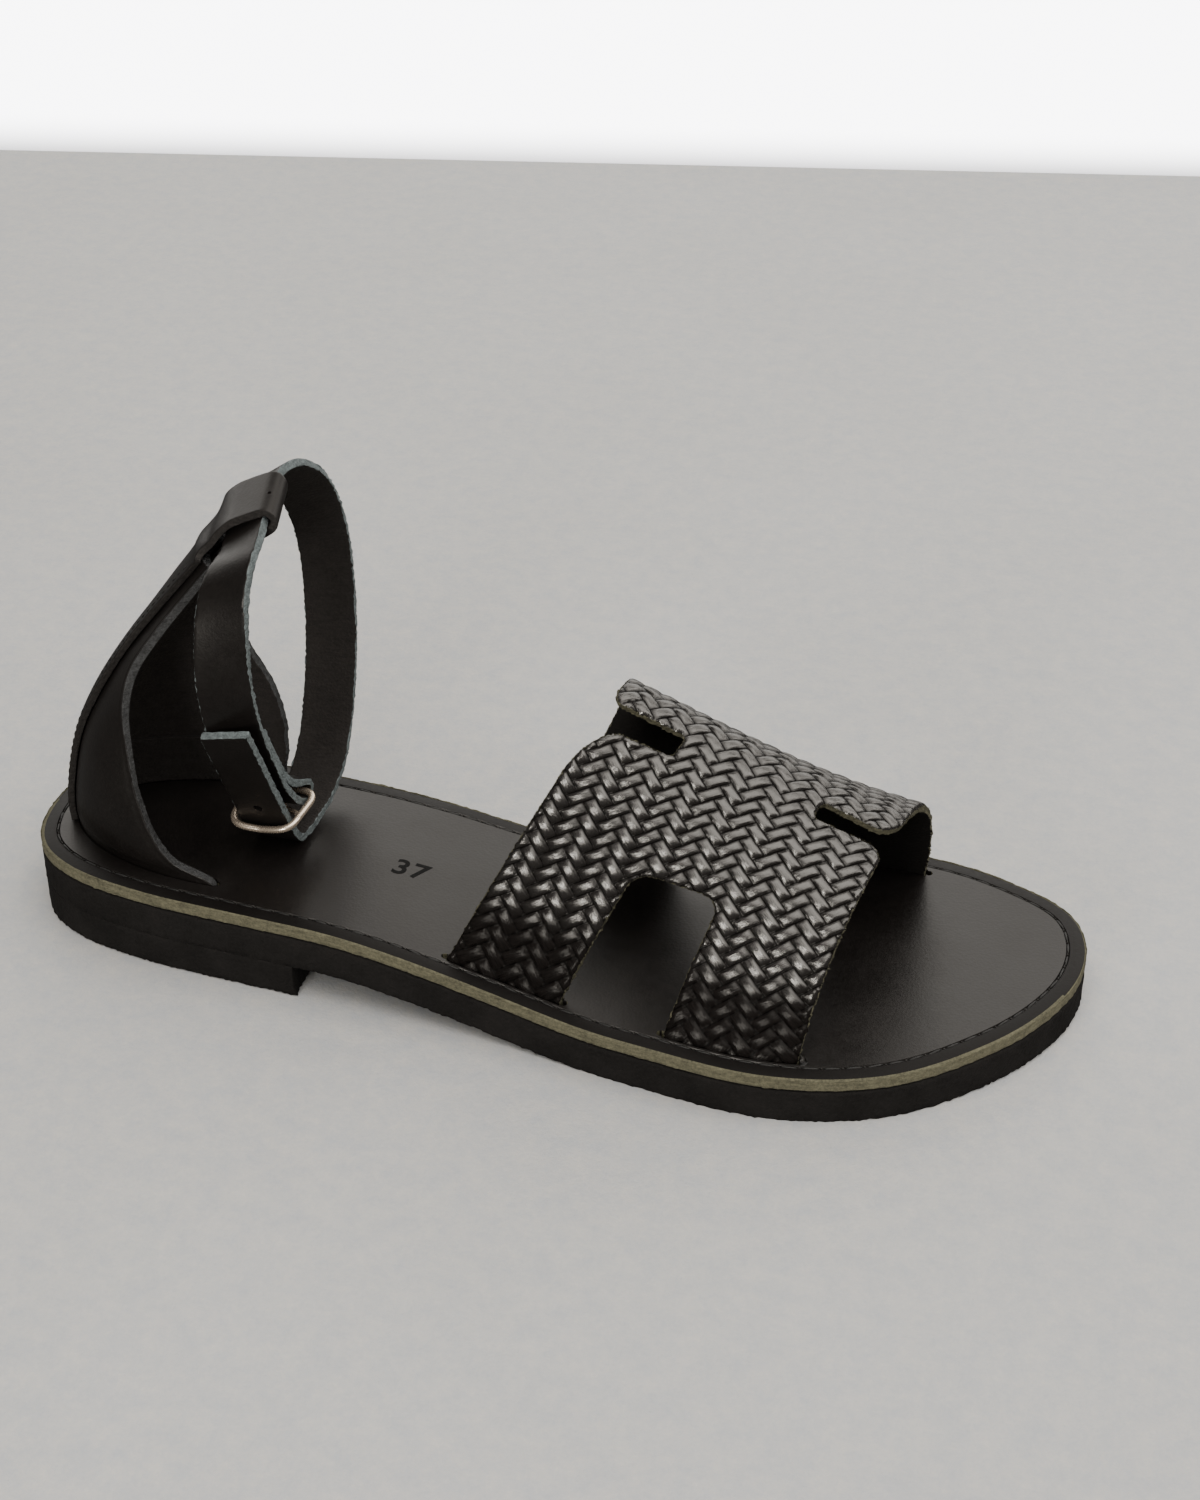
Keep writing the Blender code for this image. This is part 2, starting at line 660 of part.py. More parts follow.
# ---------------------------------------------------------------- ankle strap and buckle
def folded_end():
    """The thinned end, turned back round the buckle's bar and up inside the near strand."""
    rows = []
    for i in range(FOLD_ROWS - 1, 0, -1):
        before, row, after = NEAR_STRAND[i - 1], NEAR_STRAND[i], NEAR_STRAND[i + 1]
        along = Vector((0, after.y - before.y, after.z - before.z)).normalized()
        apart = ANKLE_THICK + FIT_GAP + (0.9 if i == 1 else 0.2 if i == 2 else 0.0)
        middle = Vector(row[:3]) - turned_axes(along, row.lean)[1] * apart
        rows.append(StrapRow(middle.x - 0.6, middle.y, middle.z, -row.lean))
    for turn in FOLD_TURNS:
        angle = math.radians(turn)
        rows.append(StrapRow(60.0, HINGE_Y + FOLD_RADIUS * math.cos(angle),
                             HINGE_Z + FOLD_RADIUS * math.sin(angle), 0.0))
    return rows


def strap_route():
    tunnel = [StrapRow(TUNNEL_X + TUNNEL_SLANT * y, y, TUNNEL_Z + TUNNEL_RISE * y, TUNNEL_LEAN)
              for y in TUNNEL_PASS]
    return [*folded_end(), *NEAR_STRAND, *tunnel, *FAR_STRAND, *FREE_END]


def turned_axes(along, lean):
    """The strap's width and outward directions, where it runs along a direction."""
    width = (Vector((1, 0, 0)) - along * along.x).normalized()
    outward = width.cross(along)
    angle = math.radians(lean)
    turned = width * math.cos(angle) + outward * math.sin(angle)
    return turned, turned.cross(along)


def route_frames(step=2.6):
    """Middle, width direction and outward direction along the ankle strap."""
    rows = strap_route()
    run = [0.0]
    for a, b in zip(rows, rows[1:]):
        run.append(run[-1] + math.dist(a[:3], b[:3]))
    places = []
    for a, b in zip(run, run[1:]):
        parts = max(1, round((b - a) / step))
        places += [mix(a, b, k / parts) for k in range(parts)]
    places.append(run[-1])
    frames = []
    for place in places:
        x, y, z, lean = smooth_at(run, rows, place)
        ahead = Vector(smooth_at(run, rows, min(place + 0.2, run[-1]))[:3])
        behind = Vector(smooth_at(run, rows, max(place - 0.2, 0.0))[:3])
        along = (ahead - behind).normalized()
        frames.append((Vector((x, y, z)), *turned_axes(along, lean)))
    return frames


def strap_thickness(middle):
    away = math.hypot(middle.y - HINGE_Y, middle.z - HINGE_Z)
    return mix(FOLD_THICK, ANKLE_THICK, min(max((away - 3.0) / 3.0, 0.0), 1.0))


def make_ankle_strap():
    points = []
    frames = route_frames()
    for middle, width, outward in frames:
        w, t = width * ANKLE_WIDE / 2, outward * strap_thickness(middle) / 2
        points += [middle - w - t, middle + w - t, middle + w + t, middle - w + t]
    end = frames[-1][0]
    along = (end - frames[-2][0]).normalized()
    for i, (middle, width, outward) in enumerate(frames):
        left = 1 - (end - middle).length / (3 * END_SLANT)
        if left > 0:
            points[4 * i] -= along * END_SLANT * left
            points[4 * i + 3] -= along * END_SLANT * left
    strap = mesh_piece("ankle_strap", points, ring_faces(len(frames), 4),
                       finish("strap_leather", BLACK, 0.45))
    triangulate(strap)
    wide, y_from, y_to, z_from, z_to = PRONG_SLOT
    box = [(60.0 + x, y, z) for z in (z_from, z_to)
           for x, y in ((-wide / 2, y_from), (wide / 2, y_from), (wide / 2, y_to),
                        (-wide / 2, y_to))]
    cut(strap, mesh_piece("cutter", box, ring_faces(2, 4)))
    start = Vector(FREE_END[0][:3])
    along = (Vector(FREE_END[1][:3]) - start).normalized()
    out = Vector((0, -along.z, along.y))
    for reach in FREE_HOLES:
        spot = start + along * reach
        cut(strap, rod("cutter", [spot - out * 2.2, spot + out * 2.2], HOLE_WIDE / 2, 12))
    spot, axis = rivet_axis()
    cut(strap, rod("cutter", [spot - axis * 3.7, spot + axis * 2.6], RIVET_STEM + FIT_GAP, 12))
    shade(strap, 50.0)


def rod(name, path, radius, sides, material=None, closed=False):
    """A round bar along a path of points that lies in a plane of constant x, or near it."""
    points = []
    count = len(path)
    for i, middle in enumerate(path):
        a = path[i - 1] if (i > 0 or closed) else path[0]
        b = path[(i + 1) % count] if (i < count - 1 or closed) else path[-1]
        along = (b - a).normalized()
        helper = Vector((0, 0.15, 1)) if abs(along.z) < 0.9 else Vector((1, 0, 0))
        side = along.cross(helper).normalized()
        up = side.cross(along)
        for k in range(sides):
            turn = 2 * math.pi * k / sides
            points.append(middle + (side * math.cos(turn) + up * math.sin(turn)) * radius)
    return mesh_piece(name, points, ring_faces(count, sides, closed), material)


def frame_path():
    """The buckle's ring: a straight bar at the hinge, a round bow outside."""
    centre = Vector((FRAME_X, (HINGE_Y + FRAME_FAR_Y) / 2, (HINGE_Z + FRAME_FAR_Z) / 2))
    reach = Vector((0, HINGE_Y - FRAME_FAR_Y, HINGE_Z - FRAME_FAR_Z)) / 2
    path = []
    for k in range(36):
        turn = 2 * math.pi * k / 36
        square = FRAME_SQUARE[1] if math.sin(turn) > 0 else FRAME_SQUARE[0]
        c = math.copysign(abs(math.cos(turn)) ** (2 / square), math.cos(turn))
        s = math.copysign(abs(math.sin(turn)) ** (2 / square), math.sin(turn))
        lift = FRAME_LIFT * max(c, 0.0) * max(0.0, min(1.0, 0.6 - s))
        path.append(centre + Vector((FRAME_HALF * c, -0.6 * lift, lift)) + reach * s)
    return path


def prong_path():
    """Round the hinge bar, then aside between the free end and the near strand."""
    ring = WIRE / 2 + FIT_GAP + PIN / 2
    path = []
    for turn in (-165.0, 155.0, 115.0, 75.0, 35.0, -5.0, -45.0, -85.0):
        angle = math.radians(turn)
        path.append(Vector((60.0, HINGE_Y + ring * math.cos(angle),
                            HINGE_Z + ring * math.sin(angle))))
    return path + [Vector(point) for point in PRONG_WAY]


def rivet_axis():
    """The rivet's place between the two layers of the fold, and its outward direction."""
    near = NEAR_STRAND[RIVET_ROW]
    before, after = NEAR_STRAND[RIVET_ROW - 1], NEAR_STRAND[RIVET_ROW + 1]
    along = Vector((0, after.y - before.y, after.z - before.z)).normalized()
    return Vector(near[:3]), turned_axes(along, near.lean)[1]


def make_rivet(metal):
    """A cap on the inside of the fold, a stem through both layers and a thin outer plate."""
    spot, axis = rivet_axis()
    layers = ANKLE_THICK * 1.5 + FIT_GAP * 2
    plate = ANKLE_THICK / 2 + 0.8 * FIT_GAP
    profile = (
        (0.0, -layers - 1.25), (1.7, -layers - 1.15), (2.8, -layers - 0.8),
        (RIVET_CAP, -layers - 0.3), (RIVET_CAP, -layers), (RIVET_STEM, -layers),
        (RIVET_STEM, plate), (2.2, plate),
        (2.2, plate + 0.25), (0.0, plate + 0.35),
    )
    side = axis.cross(Vector((0, 0, 1))).normalized()
    up = axis.cross(side)
    sides = 18
    points, faces = [], []
    rings = []
    for radius, off in profile:
        if radius == 0.0:
            rings.append([len(points)])
            points.append(spot + axis * off)
            continue
        rings.append(list(range(len(points), len(points) + sides)))
        for k in range(sides):
            turn = 2 * math.pi * k / sides
            points.append(spot + axis * off
                          + (side * math.cos(turn) + up * math.sin(turn)) * radius)
    for a, b in zip(rings, rings[1:]):
        for k in range(sides):
            j = (k + 1) % sides
            corners = {len(a): (a[k], a[j])} if len(a) > 1 else {}
            low = corners.get(len(a), (a[0],))
            high = (b[j], b[k]) if len(b) > 1 else (b[0],)
            faces.append((*low, *high))
    shade(mesh_piece("strap_rivet", points, faces, metal))


def make_buckle():
    metal = finish("buckle_metal", (0.72, 0.68, 0.62), 0.2, 1.0)
    shade(rod("buckle_frame", frame_path(), WIRE / 2, 10, metal, closed=True), 60.0)
    shade(rod("buckle_prong", prong_path(), PIN / 2, 8, metal), 60.0)
    make_rivet(metal)


clear_scene()
make_sole()
make_front_strap()
make_counter()
make_back_strip()
make_ankle_strap()
make_buckle()
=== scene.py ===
"""Ankle strap sandal, right foot: the finished leather, rubber and metal over its frame.

Sizes below are in millimetres from the back of the heel, +X to the toe, +Y to the inner
side of the foot, +Z up; to_row() turns them into metres in the frame of the part.
"""
import math
from collections import namedtuple

import bmesh
import bpy
import numpy as np
from mathutils import Matrix, Vector


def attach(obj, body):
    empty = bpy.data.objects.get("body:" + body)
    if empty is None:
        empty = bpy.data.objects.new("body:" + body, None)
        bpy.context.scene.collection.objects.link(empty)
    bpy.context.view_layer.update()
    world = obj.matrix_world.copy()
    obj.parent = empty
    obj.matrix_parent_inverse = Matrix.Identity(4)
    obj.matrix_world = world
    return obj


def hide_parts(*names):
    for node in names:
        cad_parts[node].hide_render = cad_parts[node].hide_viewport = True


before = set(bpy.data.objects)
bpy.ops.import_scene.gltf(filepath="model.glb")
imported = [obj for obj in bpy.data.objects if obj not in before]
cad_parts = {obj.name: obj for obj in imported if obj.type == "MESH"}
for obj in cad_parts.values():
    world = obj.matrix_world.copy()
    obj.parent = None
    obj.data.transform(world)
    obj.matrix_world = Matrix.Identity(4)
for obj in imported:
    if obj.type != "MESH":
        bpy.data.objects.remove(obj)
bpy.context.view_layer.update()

BODY = "root"

bl_info = {
    "name": "Ankle Strap Sandal",
    "version": (1, 0, 0),
    "blender": (4, 5, 0),
    "location": "View3D > Sidebar > Sandal",
    "description": "Makes the finished leather, rubber and metal of a flat ankle strap sandal",
    "category": "Object",
}

# ---------------------------------------------------------------- sizes of the shoe
LENGTH = 250.0
FIT_GAP = 0.3
LIFT_HEIGHT = 8.6
LIFT_FRONT = 75.0
BALL_START = 152.0
OUTSOLE_THICK = 8.5
INSOLE_THICK = 3.1
TOE_SPRING = 1.0
SPRING_START = 200.0
STRAP_THICK = 2.0
STRAP_WIDE = 80.0
STRAP_LONG = 150.0
SLIT_CLEAR = 0.35
COUNTER_THICK = 2.2
STRIP_THICK = 1.6
STRIP_HALF = 8.5
ANKLE_WIDE = 12.3
ANKLE_THICK = 2.0
WIRE = 1.7
PIN = 1.3

SoleRow = namedtuple("SoleRow", "outer inner")
SOLE = (
    SoleRow(0.0, 0.0), SoleRow(16.5, 18.0), SoleRow(26.0, 28.8), SoleRow(30.7, 29.6),
    SoleRow(32.7, 28.3), SoleRow(34.5, 26.3), SoleRow(37.2, 26.8), SoleRow(42.4, 36.2),
    SoleRow(44.9, 45.4), SoleRow(37.8, 45.2), SoleRow(21.6, 38.6), SoleRow(3.6, 29.2),
    SoleRow(-13.9, 13.9),
)

CounterRow = namedtuple("CounterRow", "z back outer_wide outer_reach inner_wide inner_reach")
COUNTER = (
    CounterRow(15.0, 7.8, 23.5, 43.7, 22.0, 43.7),
    CounterRow(20.5, 7.8, 23.5, 43.7, 22.0, 43.7),
    CounterRow(24.0, 8.0, 23.5, 34.9, 22.0, 44.3),
    CounterRow(30.0, 8.8, 23.0, 29.1, 21.8, 44.5),
    CounterRow(40.0, 11.1, 21.4, 22.9, 21.0, 42.6),
    CounterRow(50.0, 14.6, 19.4, 17.4, 20.0, 37.4),
    CounterRow(60.0, 20.1, 17.0, 10.4, 18.0, 28.2),
    CounterRow(70.0, 26.9, 14.8, 5.5, 15.5, 18.8),
    CounterRow(80.0, 34.5, 12.4, 4.2, 13.0, 11.2),
    CounterRow(90.0, 42.0, 10.4, 4.6, 10.6, 6.6),
    CounterRow(97.0, 47.3, 9.3, 4.9, 9.3, 4.9),
)
COUNTER_FOOT = 20.5

ArchRow = namedtuple("ArchRow", "outer_x inner_x rise square lean bulge skew")
REAR_ARCH = ArchRow(111.8, 118.5, 58.5, 2.05, 28.2, -0.09, 7.6)
FRONT_ARCH = ArchRow(194.1, 209.0, 35.6, 2.0, 4.9, -0.10, 2.0)
OUTER_INSET = 6.5
INNER_INSET = 7.0
FOOT_ZONE = 0.3

LEG_ARCH = (28.7, 50.8, 36.6)
LEG_ARCH_ROUND = 5.0
LEG_SPLAY = 2.8
REAR_SLOT = (21.3, 66.3, 72.8)
FRONT_SLOT = (59.7, 67.3, 73.5)
SLOT_ROUND = 1.5

TongueRow = namedtuple("TongueRow", "x z low high bow tilt")
NECK = (
    TongueRow(47.2, 99.6, -8.0, 8.0, 2.3, 0.06),
    TongueRow(48.5, 101.1, -7.2, 5.4, 1.4, 0.14),
    TongueRow(50.9, 103.7, -7.0, 4.4, 0.7, 0.26),
)
TAIL_START = TongueRow(53.2, 97.6, -6.0, 4.6, -0.6, 0.2)
TUNNEL_STOPS = (-6.0, -2.0, 2.0, 6.15)
TUNNEL_CROWN = (0.8, 1.3, 0.8, 0.0)
TUNNEL_TURNS = (36.0, 72.0, 108.0, 144.0)
TUNNEL_LOW = -7.0
TUNNEL_HIGH = 3.9
TONGUE_TAIL = (95.0, 90.0, 85.0)
TAIL_HALF = 5.5

STRIP_HEIGHTS = (COUNTER_FOOT + FIT_GAP, 26.0, 33.0, 41.0, 49.0, 57.0, 65.0, 73.0, 81.0,
                 89.0, 96.5)
STRIP_ACROSS = np.linspace(-1, 1, 7)

StrapRow = namedtuple("StrapRow", "x y z lean")
HINGE_Y = 2.9
HINGE_Z = 32.2
FOLD_THICK = 1.6
FOLD_RADIUS = 2.3
FOLD_TURNS = (58.0, 20.0, -20.0, -60.0, -100.0, -128.0)
FOLD_ROWS = 6
FOLD_OPENS = {1: 0.9, 2: 0.2}     # room that the folded layer leaves at its first rows
FOLD_ASIDE = 0.6
THIN_REACH = 3.0          # how near the hinge the leather is pared thin
NEAR_STRAND = (
    StrapRow(60.0, -1.9, 32.4, 0.0),
    StrapRow(60.0, -5.3, 35.7, -2.0),
    StrapRow(60.0, -9.0, 40.2, -5.0),
    StrapRow(60.0, -12.4, 46.0, -9.0),
    StrapRow(60.0, -15.6, 52.0, -11.5),
    StrapRow(60.0, -18.4, 58.0, -13.5),
    StrapRow(60.0, -21.2, 65.0, -15.0),
    StrapRow(60.0, -23.2, 76.0, -10.0),
    StrapRow(60.3, -22.8, 88.0, 1.0),
    StrapRow(60.5, -19.9, 96.6, 14.0),
    StrapRow(60.9, -15.4, 101.4, 25.0),
    StrapRow(61.15, -10.3, 103.8, 32.5),
)
TUNNEL_X = 59.5
TUNNEL_Z = 107.6
TUNNEL_SLANT = -0.16
TUNNEL_RISE = 0.37
TUNNEL_TURN = 36.0
TUNNEL_LEAN = 33.7
TUNNEL_PASS = (-7.6, -3.2, 1.2, 5.6)
FAR_STRAND = (
    StrapRow(59.1, 9.4, 110.4, 34.0),
    StrapRow(60.3, 14.2, 109.3, 34.5),
    StrapRow(61.3, 19.5, 105.8, 33.5),
    StrapRow(61.5, 24.6, 101.0, 30.0),
    StrapRow(61.8, 29.4, 93.0, 22.0),
    StrapRow(62.0, 32.6, 81.8, 13.0),
    StrapRow(62.0, 33.6, 68.5, 9.0),
    StrapRow(62.0, 31.9, 54.1, 10.0),
    StrapRow(61.9, 27.1, 38.5, 10.0),
    StrapRow(61.6, 21.4, 29.2, 6.0),
    StrapRow(61.0, 14.0, 23.8, 2.0),
    StrapRow(60.4, 6.0, 22.0, 0.0),
    StrapRow(60.2, 1.0, 21.9, 0.0),
    StrapRow(60.1, -2.6, 22.6, 0.0),
    StrapRow(60.0, -5.0, 25.0, 0.0),
)
FREE_END = (
    StrapRow(60.0, -9.0, 31.8, 0.0),
    StrapRow(60.0, -17.4, 48.2, 0.0),
    StrapRow(60.0, -26.6, 66.2, 0.0),
)
END_SLANT = 4.0
FREE_HOLE = 5.4
HOLE_WIDE = 2.3

ANKLE_FIBRES = 1500
STRAP_FIBRES = 2400
PIN_SLOT_LOW = (58.4, -2.8, 27.6)
PIN_SLOT_HIGH = (61.6, 8.0, 36.4)

FRAME_X = 59.7
FRAME_HALF = 8.2
FRAME_SQUARE = (4.0, 6.0)
FRAME_FAR_Y = -11.2
FRAME_FAR_Z = 29.4
FRAME_LIFT = 1.8
PRONG_WAY = ((60.4, 0.8, 29.7), (61.2, -0.6, 29.2), (63.6, -2.6, 29.9), (66.0, -4.4, 30.6))
RIVET_ROW = 4
RIVET_CAP = 3.4
RIVET_STEM = 1.2

# ---------------------------------------------------------------- steps of the shapes
UPRIGHT = (0.0, 0.0, 1.0)
STEP = 0.5                # how far to each side a surface is read for its slope
LOOK = 0.2                # the same along a strap or a seam
SHARE_STEP = 0.01
SOLE_TURNS = 721
ARCH_POINTS = 121
ANKLE_STEP = 0.8
WIRE_POINTS = 96

# ---------------------------------------------------------------- sizes of the finish
BRAID_PERIOD = 9.74       # two bands of the braid, measured along the foot
BRAID_STEP = 3.725        # from one float to the next in a band
BRAID_SKEW = 0.59         # how far a band drifts towards the heel at each step upwards
BRAID_START = (5.28, 54.05)  # a crossing of the braid, in the strap's flat pattern
BRAID_OPENS = (0.0037, 0.0081, -0.0101)   # how the braid is drawn out to the front and foot
BRAID_CELLS = 6           # mesh cells across one strand
EDGE_FUZZ = 0.16
GROOVE_IN = 4.2
GROOVE_HALF = 0.45
PUNCH = 1.9
PIN_PRICK = (7.6, 113.0)
FIBRE_WIDE = 0.055
FIBRE_SPREAD = 0.45       # how far fibres lean from straight out
FIBRE_REACH = (0.4, 1.3)
FIBRE_ROOT = 0.3          # share of a fibre's length from the edge to its middle
STITCH_TURNS = 0.05


# ---------------------------------------------------------------- number helpers
TINY = 1e-12


def mix(a, b, t):
    """The value a share t of the way from a to b."""
    return a + (b - a) * t


def hermite(t, first, last, first_slope, last_slope, span=1.0):
    """Smooth curve between two values with their slopes."""
    return ((2 * t ** 3 - 3 * t ** 2 + 1) * first
            + (t ** 3 - 2 * t ** 2 + t) * first_slope * span
            + (3 * t ** 2 - 2 * t ** 3) * last
            + (t ** 3 - t ** 2) * last_slope * span)


def smooth_rows(places, values, where):
    """Smooth curve through rows of values at rising places, read at an array of places."""
    places = np.asarray(places, float)
    values = np.asarray(values, float)
    where = np.clip(np.asarray(where, float), places[0], places[-1])
    last = len(places) - 1
    i = np.clip(np.searchsorted(places, where) - 1, 0, last - 1)
    before = np.maximum(np.arange(last + 1) - 1, 0)
    after = np.minimum(np.arange(last + 1) + 1, last)
    slopes = (values[after] - values[before]) / (places[after] - places[before])[:, None]
    span = (places[i + 1] - places[i])[..., None]
    t = (where - places[i])[..., None] / span
    return hermite(t, values[i], values[i + 1], slopes[i], slopes[i + 1], span)


def unit(vectors):
    """The vectors at length one."""
    return vectors / np.maximum(np.linalg.norm(vectors, axis=-1, keepdims=True), TINY)


def run_along(points):
    """How far along a line each of its points is."""
    steps = np.linalg.norm(np.diff(points, axis=0), axis=1)
    return np.concatenate([[0], np.cumsum(steps)])


def read_line(places, run, values):
    """Rows of values known at each run, read at an array of places."""
    return np.stack([np.interp(places, run, column) for column in values.T], -1)


def closed_loop(points):
    """The loop with its first point again at its end."""
    return np.concatenate([points, points[:1]])


def to_row(points):
    """Metres in the frame of the part, from millimetres off the back of the heel."""
    points = np.asarray(points, float)
    return (points - np.array((LENGTH / 2, MIDDLE_Y, 0.0))) / 1000


def to_shoe(points):
    """Millimetres off the back of the heel, from metres in the frame of the part."""
    return points * 1000 + np.array((LENGTH / 2, MIDDLE_Y, 0.0))


def seeded(seed):
    """Random draws that come out the same every time."""
    return np.random.default_rng(seed)


# ---------------------------------------------------------------- sole and last
def sole_at_turn(turn):
    """Outer and inner half width at turns in degrees, as an array of pairs."""
    return smooth_rows([15.0 * k for k in range(len(SOLE))], SOLE, turn)


def turn_of(x):
    """The turn in degrees that a place along the sole stands at."""
    return np.degrees(np.arccos(np.clip(1 - 2 * np.asarray(x, float) / LENGTH, -1, 1)))


def under_outsole(x):
    """Height of the outsole's underside: over the lift, down to the ball, up at the toe."""
    t = np.clip((x - LIFT_FRONT) / (BALL_START - LIFT_FRONT), 0.0, 1.0)
    spring = TOE_SPRING * np.maximum((x - SPRING_START) / (LENGTH - SPRING_START), 0.0) ** 2
    return LIFT_HEIGHT * (0.5 + 0.5 * np.cos(np.pi * t)) + spring


def insole_top(x):
    """Height of the footbed's top."""
    return under_outsole(x) + OUTSOLE_THICK + INSOLE_THICK


WIDEST = sole_at_turn(np.arange(181.0)).max(axis=0)
MIDDLE_Y = float((WIDEST[0] + WIDEST[1]) / 2 - WIDEST[0])


def sole_outline(count):
    """The sole's edge as an even loop of plan points, anticlockwise from above."""
    turns = np.linspace(0.0, 180.0, SOLE_TURNS)
    x = LENGTH / 2 * (1 - np.cos(np.radians(turns)))
    wide = sole_at_turn(turns)
    inner = np.stack([x, wide[:, 1]], 1)
    outer = np.stack([x, -wide[:, 0]], 1)
    return even_loop(np.concatenate([outer, inner[::-1][1:-1]]), count)


def even_loop(points, count):
    """The loop again, with its points evenly spaced."""
    closed = closed_loop(points)
    run = run_along(closed)
    return read_line(np.linspace(0, run[-1], count, endpoint=False), run, closed)


def inward(loop):
    """Inward directions of an anticlockwise plan loop."""
    ahead = np.roll(loop, -3, 0) - np.roll(loop, 3, 0)
    return unit(np.stack([-ahead[:, 1], ahead[:, 0]], 1))


# ---------------------------------------------------------------- front strap's shape
def foot_of_strap(x, outer):
    """Where the strap meets the footbed's top, at its outer or inner edge."""
    wide = sole_at_turn(turn_of(x))
    y = np.where(outer, -(wide[..., 0] - OUTER_INSET), wide[..., 1] - INNER_INSET)
    return np.stack([x, y, insole_top(x)], -1)


def arch_points(row):
    """Even points along one edge of the strap, from its outer foot to its inner foot."""
    start = foot_of_strap(np.array(row.outer_x), True)
    end = foot_of_strap(np.array(row.inner_x), False)
    half = (end[1] - start[1]) / 2
    turn = np.pi * (1 - np.arange(ARCH_POINTS) / (ARCH_POINTS - 1))
    across = np.sign(np.cos(turn)) * np.abs(np.cos(turn)) ** (2 / row.square)
    up = np.abs(np.sin(turn)) ** (2 / row.square)
    side = (across + 1) / 2
    swell = 1 + row.bulge * 4 * up * (1 - up)
    points = np.stack([mix(start[0], end[0], side) + row.lean * up,
                       start[1] + half + half * across * swell + row.skew * up,
                       mix(start[2], end[2], side) + row.rise * up], 1)
    run = run_along(points)
    return read_line(np.linspace(0, run[-1], ARCH_POINTS), run, points)


REAR_EDGE = arch_points(REAR_ARCH)
FRONT_EDGE = arch_points(FRONT_ARCH)


def edge_at(edge, t):
    """A point of an edge, at a share t of its points."""
    return read_line(t * (len(edge) - 1), np.arange(len(edge)), edge)


def strap_middle(across, along):
    """The middle of the leather at places of the flat pattern."""
    s = (across / STRAP_WIDE)[..., None]
    t = np.clip(along / STRAP_LONG, 0.0, 1.0)
    point = mix(edge_at(REAR_EDGE, t), edge_at(FRONT_EDGE, t), s)
    outer = t < 0.5
    ruled = np.where(outer[..., None], mix(REAR_EDGE[0], FRONT_EDGE[0], s),
                     mix(REAR_EDGE[-1], FRONT_EDGE[-1], s))
    near = np.maximum(1 - np.minimum(t, 1 - t) / FOOT_ZONE, 0.0) ** 2
    point = point + (foot_of_strap(ruled[..., 0], outer) - ruled) * near[..., None]
    below = np.maximum(np.maximum(-along, along - STRAP_LONG), 0.0)
    point[..., 2] -= below
    return point


def strap_point(across, along, off):
    """A place of the flat pattern, off the middle of the leather towards its face."""
    inside = np.clip(along, STEP, STRAP_LONG - STEP)
    one = strap_middle(across + STEP, inside) - strap_middle(across - STEP, inside)
    two = strap_middle(across, inside + STEP) - strap_middle(across, inside - STEP)
    normal = unit(np.cross(one, two))
    low = (along < STEP) | (along > STRAP_LONG - STEP)
    normal[..., 2] = np.where(low, 0.0, normal[..., 2])
    return strap_middle(across, along) + unit(normal) * off[..., None]


def arc(centre, radii, first, last, steps=8):
    """Points of a quarter of an ellipse, in the flat pattern."""
    turns = np.radians(np.linspace(first, last, steps + 1))
    return [(centre[0] + radii[0] * math.cos(t), centre[1] + radii[1] * math.sin(t))
            for t in turns]


def strap_outline():
    """The flat pattern's cut edge, anticlockwise: legs, arches, slots and round corners."""
    tuck = INSOLE_THICK
    start, stop, height = LEG_ARCH
    r = LEG_ARCH_ROUND
    lean = LEG_SPLAY * (height - r + tuck) / (height + 4.1)
    depth, low, high = REAR_SLOT
    front, front_low, front_high = FRONT_SLOT
    q = SLOT_ROUND
    top = STRAP_LONG - height
    end = STRAP_LONG + tuck
    points = [(0, -tuck), (start - lean, -tuck)]
    points += arc((start + r, height - r), (r, r), 180, 90)
    points += arc((stop - r, height - r), (r, r), 90, 0)
    points += [(stop, -tuck), (STRAP_WIDE, -tuck)]
    points += arc((STRAP_WIDE - 5.0, front_low - 6.0), (5.0, 6.0), 0, 90)
    points += arc((front + q, front_low + q), (q, q), 270, 180, 4)
    points += arc((front + q, front_high - q), (q, q), 180, 90, 4)
    points += arc((STRAP_WIDE - 5.5, front_high + 8.0), (5.5, 8.0), 270, 360)
    points += [(STRAP_WIDE, end), (stop, end)]
    points += arc((stop - r, top + r), (r, r), 0, -90)
    points += arc((start + r, top + r), (r, r), 270, 180)
    points += [(start - lean, end), (0, end)]
    points += arc((3.0, high + 4.0), (3.0, 4.0), 180, 270)
    points += arc((depth - q, high - q), (q, q), 90, 0, 4)
    points += arc((depth - q, low + q), (q, q), 0, -90, 4)
    points += arc((8.0, low - 13.0), (8.0, 13.0), 90, 180)
    return np.array(points, float)


def signed_distance(points, outline):
    """Distance to a closed outline, positive inside, and the nearest place on it."""
    a = outline
    b = np.roll(outline, -1, 0)
    best = np.full(len(points), 1e9)
    nearest = np.zeros_like(points)
    inside = np.zeros(len(points), bool)
    for p, q in zip(a, b):
        edge = q - p
        if edge @ edge < 1e-12:
            continue
        t = np.clip((points - p) @ edge / (edge @ edge), 0, 1)
        spot = p + t[:, None] * edge
        gap = np.linalg.norm(points - spot, axis=1)
        closer = gap < best
        best = np.where(closer, gap, best)
        nearest[closer] = spot[closer]
        crosses = (p[1] > points[:, 1]) != (q[1] > points[:, 1])
        where = p[0] + (points[:, 1] - p[1]) * edge[0] / (edge[1] if edge[1] else 1e-12)
        inside ^= crosses & (points[:, 0] < where)
    return np.where(inside, best, -best), nearest


